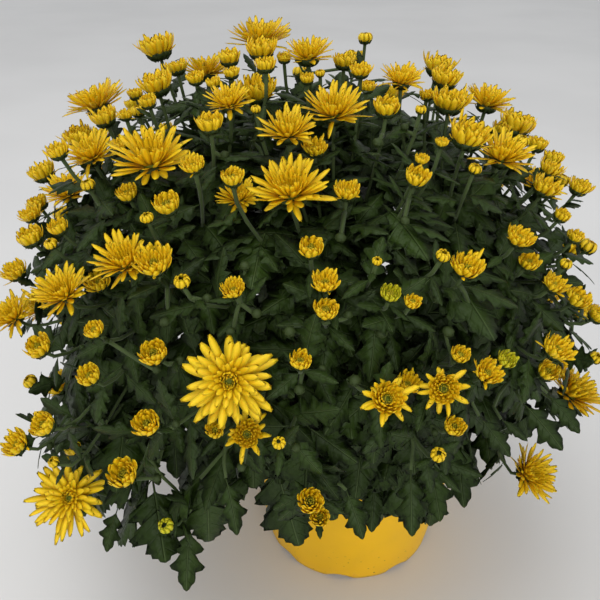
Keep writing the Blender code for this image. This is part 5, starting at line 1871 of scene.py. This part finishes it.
def add_twig(wood, leaf, stalks):
    """The twig that joins a leaf to the nearest stalk of its plant."""
    origin, run = nearest_on_stalks(leaf.foot, leaf.stem, stalks, TWIG_STRETCH)
    along = leaf.along * (leaf.foot - origin).length * TWIG_HANDLE
    handles = (origin + run.normalized() * along.length, leaf.foot - along)
    tube(wood, bezier((origin, leaf.foot), handles, TWIG_STEPS), TWIG_RADII)


def add_green_bud(wood, bud):
    """A green bud with its twig and bracts."""
    reach = (bud.base - bud.rises_from).length
    leaves_by = bud.rises_from + bud.rises_along.normalized() * reach * TWIG_HANDLE
    handles = (leaves_by, bud.base - bud.facing * reach * TWIG_HANDLE)
    tube(wood, bezier((bud.rises_from, bud.base), handles, BUD_TWIG_STEPS), TWIG_RADII)
    add_calyx(wood, bud)
    turned(wood, scaled(GREEN_BUD_OUTLINE, bud.radius), GREEN_BUD_SIDES, head_matrix(bud), 1)


def make_branches(stem):
    """One plant's main stem, its branches, stalks, twigs and side buds, with the green cups of its heads."""
    layout = plant()
    wood = Gatherer()
    foot = root_of(stem) + UP * (SOIL_TOP - PLANTING_DEPTH + 3 * FIT_GAP)
    top = stem_top(stem)
    tube(wood, [foot, foot.lerp(top, 0.5), top, top + UP * MAIN_STEM_TIP], MAIN_STEM_RADII)
    own = [(head, path) for head, path in layout.stalks if head.stem == stem]
    for head, path in own:
        tube(wood, branch_curve(top, head.fork, Vector(path[1] - path[0])), BRANCH_RADII)
        tube(wood, path, FINE_STALK_RADII)
        add_calyx(wood, head)
    for start, end, leaf in layout.shoots:
        if leaf.stem == stem:
            tube(wood, branch_curve(top, start, end - start), BRANCH_RADII)
            tube(wood, [start, start.lerp(end, 0.5), end], SHOOT_RADII)
    for leaf in [*layout.twig_leaves, *layout.outline_leaves]:
        if leaf.stem == stem:
            add_twig(wood, leaf, own)
    for bud in layout.buds:
        if bud.stem == stem:
            add_green_bud(wood, bud)
    piece = wood.object(f"branches_{stem + 1}", [stalk_finish(), bract_finish()])
    keep(piece, [f"leafy_stem_{stem + 1}"])


def make_leaves(stem):
    """One plant's leaves: those on its twigs, then those on its shoots and stalks and at the outline."""
    layout = plant()
    blades = Gatherer()
    draw = np.random.default_rng([SEED, stem])
    turns = random.Random(SPRAY_SEED + stem)
    single = [leaf for _, _, leaf in layout.shoots] + layout.more_leaves + layout.outline_leaves
    for leaf in layout.twig_leaves:
        if leaf.stem != stem:
            continue
        if leaf.foot.z > SPRAY_ABOVE:
            for part in spray(leaf, turns):
                add_fine_leaf(blades, part, draw)
        else:
            add_fine_leaf(blades, leaf, draw)
    for leaf in single:
        if leaf.stem == stem:
            add_fine_leaf(blades, leaf, draw)
    piece = blades.object(f"leaves_{stem + 1}", [leaf_finish()])
    keep(piece, [f"leafy_stem_{stem + 1}"])


def make_small_heads(stem):
    """The buds and small heads that one plant's solid carries."""
    layout = plant()
    petals = Gatherer()
    for head in layout.heads:
        if head.stem == stem and head not in layout.blooms:
            add_flower(petals, head)
    piece = petals.object(f"small_heads_{stem + 1}", [petal_finish(), heart_finish()])
    keep(piece, [f"leafy_stem_{stem + 1}"])


def make_bloom(number, head):
    petals = Gatherer()
    add_flower(petals, head)
    piece = petals.object(f"bloom_{number:02d}", [petal_finish(), heart_finish()])
    keep(piece, [f"flower_head_{number:02d}"])


# Stage


def make_floor():
    bpy.ops.mesh.primitive_plane_add(size=FLOOR_SIZE, location=(0, FLOOR_SIZE / 4, FLOOR_DROP))
    floor = bpy.context.object
    floor.name = "floor"
    made = Nodes("floor_paper", 0.75, Specular_IOR_Level=0.2)
    clouds = made.noise(FLOOR_CLOUDS, 3.0)
    pale = colour_of("floor")
    made.colour(made.mix(made.ramp(clouds, 0.3, 0.7), shade(pale, 0.96), shade(pale, 1.03)))
    floor.data.materials.append(made.material)


def add_area_light(name, energy, size, place, target):
    lamp = bpy.data.lights.new(name, "AREA")
    lamp.shape = "DISK"
    lamp.energy = energy
    lamp.size = size
    obj = bpy.data.objects.new(name, lamp)
    obj.location = place
    obj.rotation_euler = (Vector(target) - Vector(place)).to_track_quat("-Z", "Y").to_euler()
    bpy.context.scene.collection.objects.link(obj)


def make_lights():
    settings = bpy.context.scene.plant_stage
    add_area_light("key_light", settings.key_energy, settings.key_size, KEY_PLACE, LIGHT_TARGET)
    add_area_light("fill_light", settings.fill_energy, settings.key_size, FILL_PLACE, LIGHT_TARGET)
    world = bpy.data.worlds.new("studio")
    world.use_nodes = True
    sky = world.node_tree.nodes["Background"]
    sky.inputs["Color"].default_value = (*WORLD_COLOUR, 1)
    sky.inputs["Strength"].default_value = settings.sky_strength
    bpy.context.scene.world = world
    bpy.context.scene.view_settings.view_transform = "Standard"


def make_camera():
    """A camera where the photograph was taken from."""
    lens = bpy.data.cameras.new("photo_view")
    lens.lens = LENS
    lens.sensor_width = SENSOR
    camera = bpy.data.objects.new("photo_view", lens)
    camera.location = EYE
    camera.rotation_euler = (math.pi / 2 - EYE_PITCH, 0, 0)
    bpy.context.scene.collection.objects.link(camera)
    bpy.context.scene.camera = camera


# Settings that a user would change


def colour_setting(label, what, value):
    return bpy.props.FloatVectorProperty(
        name=label, description=what, subtype="COLOR", size=3, min=0.0, max=1.0, default=value
    )


class PLANT_PG_colours(bpy.types.PropertyGroup):
    petal: colour_setting("Petals", "Yellow of the petals", (0.88, 0.58, 0.008))
    petal_root: colour_setting("Petal roots", "Warmer yellow at roots and in streaks", (0.80, 0.36, 0.004))
    heart: colour_setting("Heart", "Green in the middle of a head", (0.20, 0.24, 0.015))
    heart_tip: colour_setting("Heart tips", "Tips of the florets in the middle", (0.62, 0.50, 0.02))
    leaf: colour_setting("Leaves", "Upper side of the leaves", (0.019, 0.037, 0.004))
    leaf_vein: colour_setting("Leaf veins", "Midrib and side veins", (0.055, 0.085, 0.022))
    leaf_below: colour_setting("Leaf undersides", "Lower side of the leaves", (0.045, 0.070, 0.024))
    stalk: colour_setting("Stalks", "Stems, branches and stalks", (0.046, 0.070, 0.018))
    bract: colour_setting("Bracts", "Green cups under the heads", (0.035, 0.055, 0.012))
    pot: colour_setting("Pot", "Moulded plastic of the pot", (0.80, 0.45, 0.006))
    soil: colour_setting("Soil", "Potting soil", (0.030, 0.020, 0.013))
    floor: colour_setting("Floor", "Pale floor under the pot", (0.70, 0.69, 0.675))


class PLANT_PG_stage(bpy.types.PropertyGroup):
    key_energy: bpy.props.FloatProperty(
        name="Key light",
        description="Power of the large light overhead",
        default=20.0,
        min=0.0,
        unit="POWER",
    )
    fill_energy: bpy.props.FloatProperty(
        name="Fill light",
        description="Power of the light from the front",
        default=14.0,
        min=0.0,
        unit="POWER",
    )
    key_size: bpy.props.FloatProperty(
        name="Light size",
        description="Width of the round lights",
        default=1.8,
        min=0.1,
        unit="LENGTH",
    )
    sky_strength: bpy.props.FloatProperty(
        name="Sky",
        description="Strength of the even light from all sides",
        default=0.72,
        min=0.0,
    )


# Operators


class PLANT_OT_add_pot(bpy.types.Operator):
    """Add the plastic pot"""

    bl_idname = "plant.add_pot"
    bl_label = "Add Pot"

    def execute(self, context):
        make_pot()
        return {"FINISHED"}


class PLANT_OT_add_soil(bpy.types.Operator):
    """Add the potting soil"""

    bl_idname = "plant.add_soil"
    bl_label = "Add Soil"

    def execute(self, context):
        make_soil()
        return {"FINISHED"}


class PLANT_OT_add_branches(bpy.types.Operator):
    """Add the stems, branches, stalks and the green cups under the heads"""

    bl_idname = "plant.add_branches"
    bl_label = "Add Branches"

    def execute(self, context):
        for stem in range(OUTER_STEMS + 1):
            make_branches(stem)
        return {"FINISHED"}


class PLANT_OT_add_leaves(bpy.types.Operator):
    """Add the lobed leaves"""

    bl_idname = "plant.add_leaves"
    bl_label = "Add Leaves"

    def execute(self, context):
        for stem in range(OUTER_STEMS + 1):
            make_leaves(stem)
        return {"FINISHED"}


class PLANT_OT_add_small_heads(bpy.types.Operator):
    """Add the yellow buds and the small flower heads"""

    bl_idname = "plant.add_small_heads"
    bl_label = "Add Small Heads"

    def execute(self, context):
        for stem in range(OUTER_STEMS + 1):
            make_small_heads(stem)
        return {"FINISHED"}


class PLANT_OT_add_blooms(bpy.types.Operator):
    """Add the large flower heads"""

    bl_idname = "plant.add_blooms"
    bl_label = "Add Blooms"

    def execute(self, context):
        for number, head in enumerate(plant().blooms, 1):
            make_bloom(number, head)
        return {"FINISHED"}


class PLANT_OT_add_stage(bpy.types.Operator):
    """Add the pale floor, the soft lights and the camera"""

    bl_idname = "plant.add_stage"
    bl_label = "Add Stage"

    def execute(self, context):
        make_floor()
        make_lights()
        make_camera()
        return {"FINISHED"}


PIECE_OPERATORS = (
    PLANT_OT_add_pot,
    PLANT_OT_add_soil,
    PLANT_OT_add_branches,
    PLANT_OT_add_leaves,
    PLANT_OT_add_small_heads,
    PLANT_OT_add_blooms,
    PLANT_OT_add_stage,
)


class PLANT_PT_pieces(bpy.types.Panel):
    """Lists the pieces of the pot chrysanthemum and their settings"""

    bl_label = "Pot Chrysanthemum"
    bl_idname = "PLANT_PT_pieces"
    bl_space_type = "VIEW_3D"
    bl_region_type = "UI"
    bl_category = "Plant"

    def draw(self, context):
        for piece in PIECE_OPERATORS:
            self.layout.operator(piece.bl_idname)
        for group in (context.scene.plant_colours, context.scene.plant_stage):
            column = self.layout.column()
            for name in group.__annotations__:
                column.prop(group, name)


CLASSES = (PLANT_PG_colours, PLANT_PG_stage, *PIECE_OPERATORS, PLANT_PT_pieces)


def register():
    for cls in CLASSES:
        bpy.utils.register_class(cls)
    bpy.types.Scene.plant_colours = bpy.props.PointerProperty(type=PLANT_PG_colours)
    bpy.types.Scene.plant_stage = bpy.props.PointerProperty(type=PLANT_PG_stage)


def unregister():
    del bpy.types.Scene.plant_stage
    del bpy.types.Scene.plant_colours
    for cls in reversed(CLASSES):
        bpy.utils.unregister_class(cls)


def main():
    register()
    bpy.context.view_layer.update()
    bpy.ops.plant.add_stage()
    bpy.ops.plant.add_pot()
    bpy.ops.plant.add_soil()
    bpy.ops.plant.add_branches()
    bpy.ops.plant.add_leaves()
    bpy.ops.plant.add_small_heads()
    bpy.ops.plant.add_blooms()


if __name__ == "__main__":
    main()
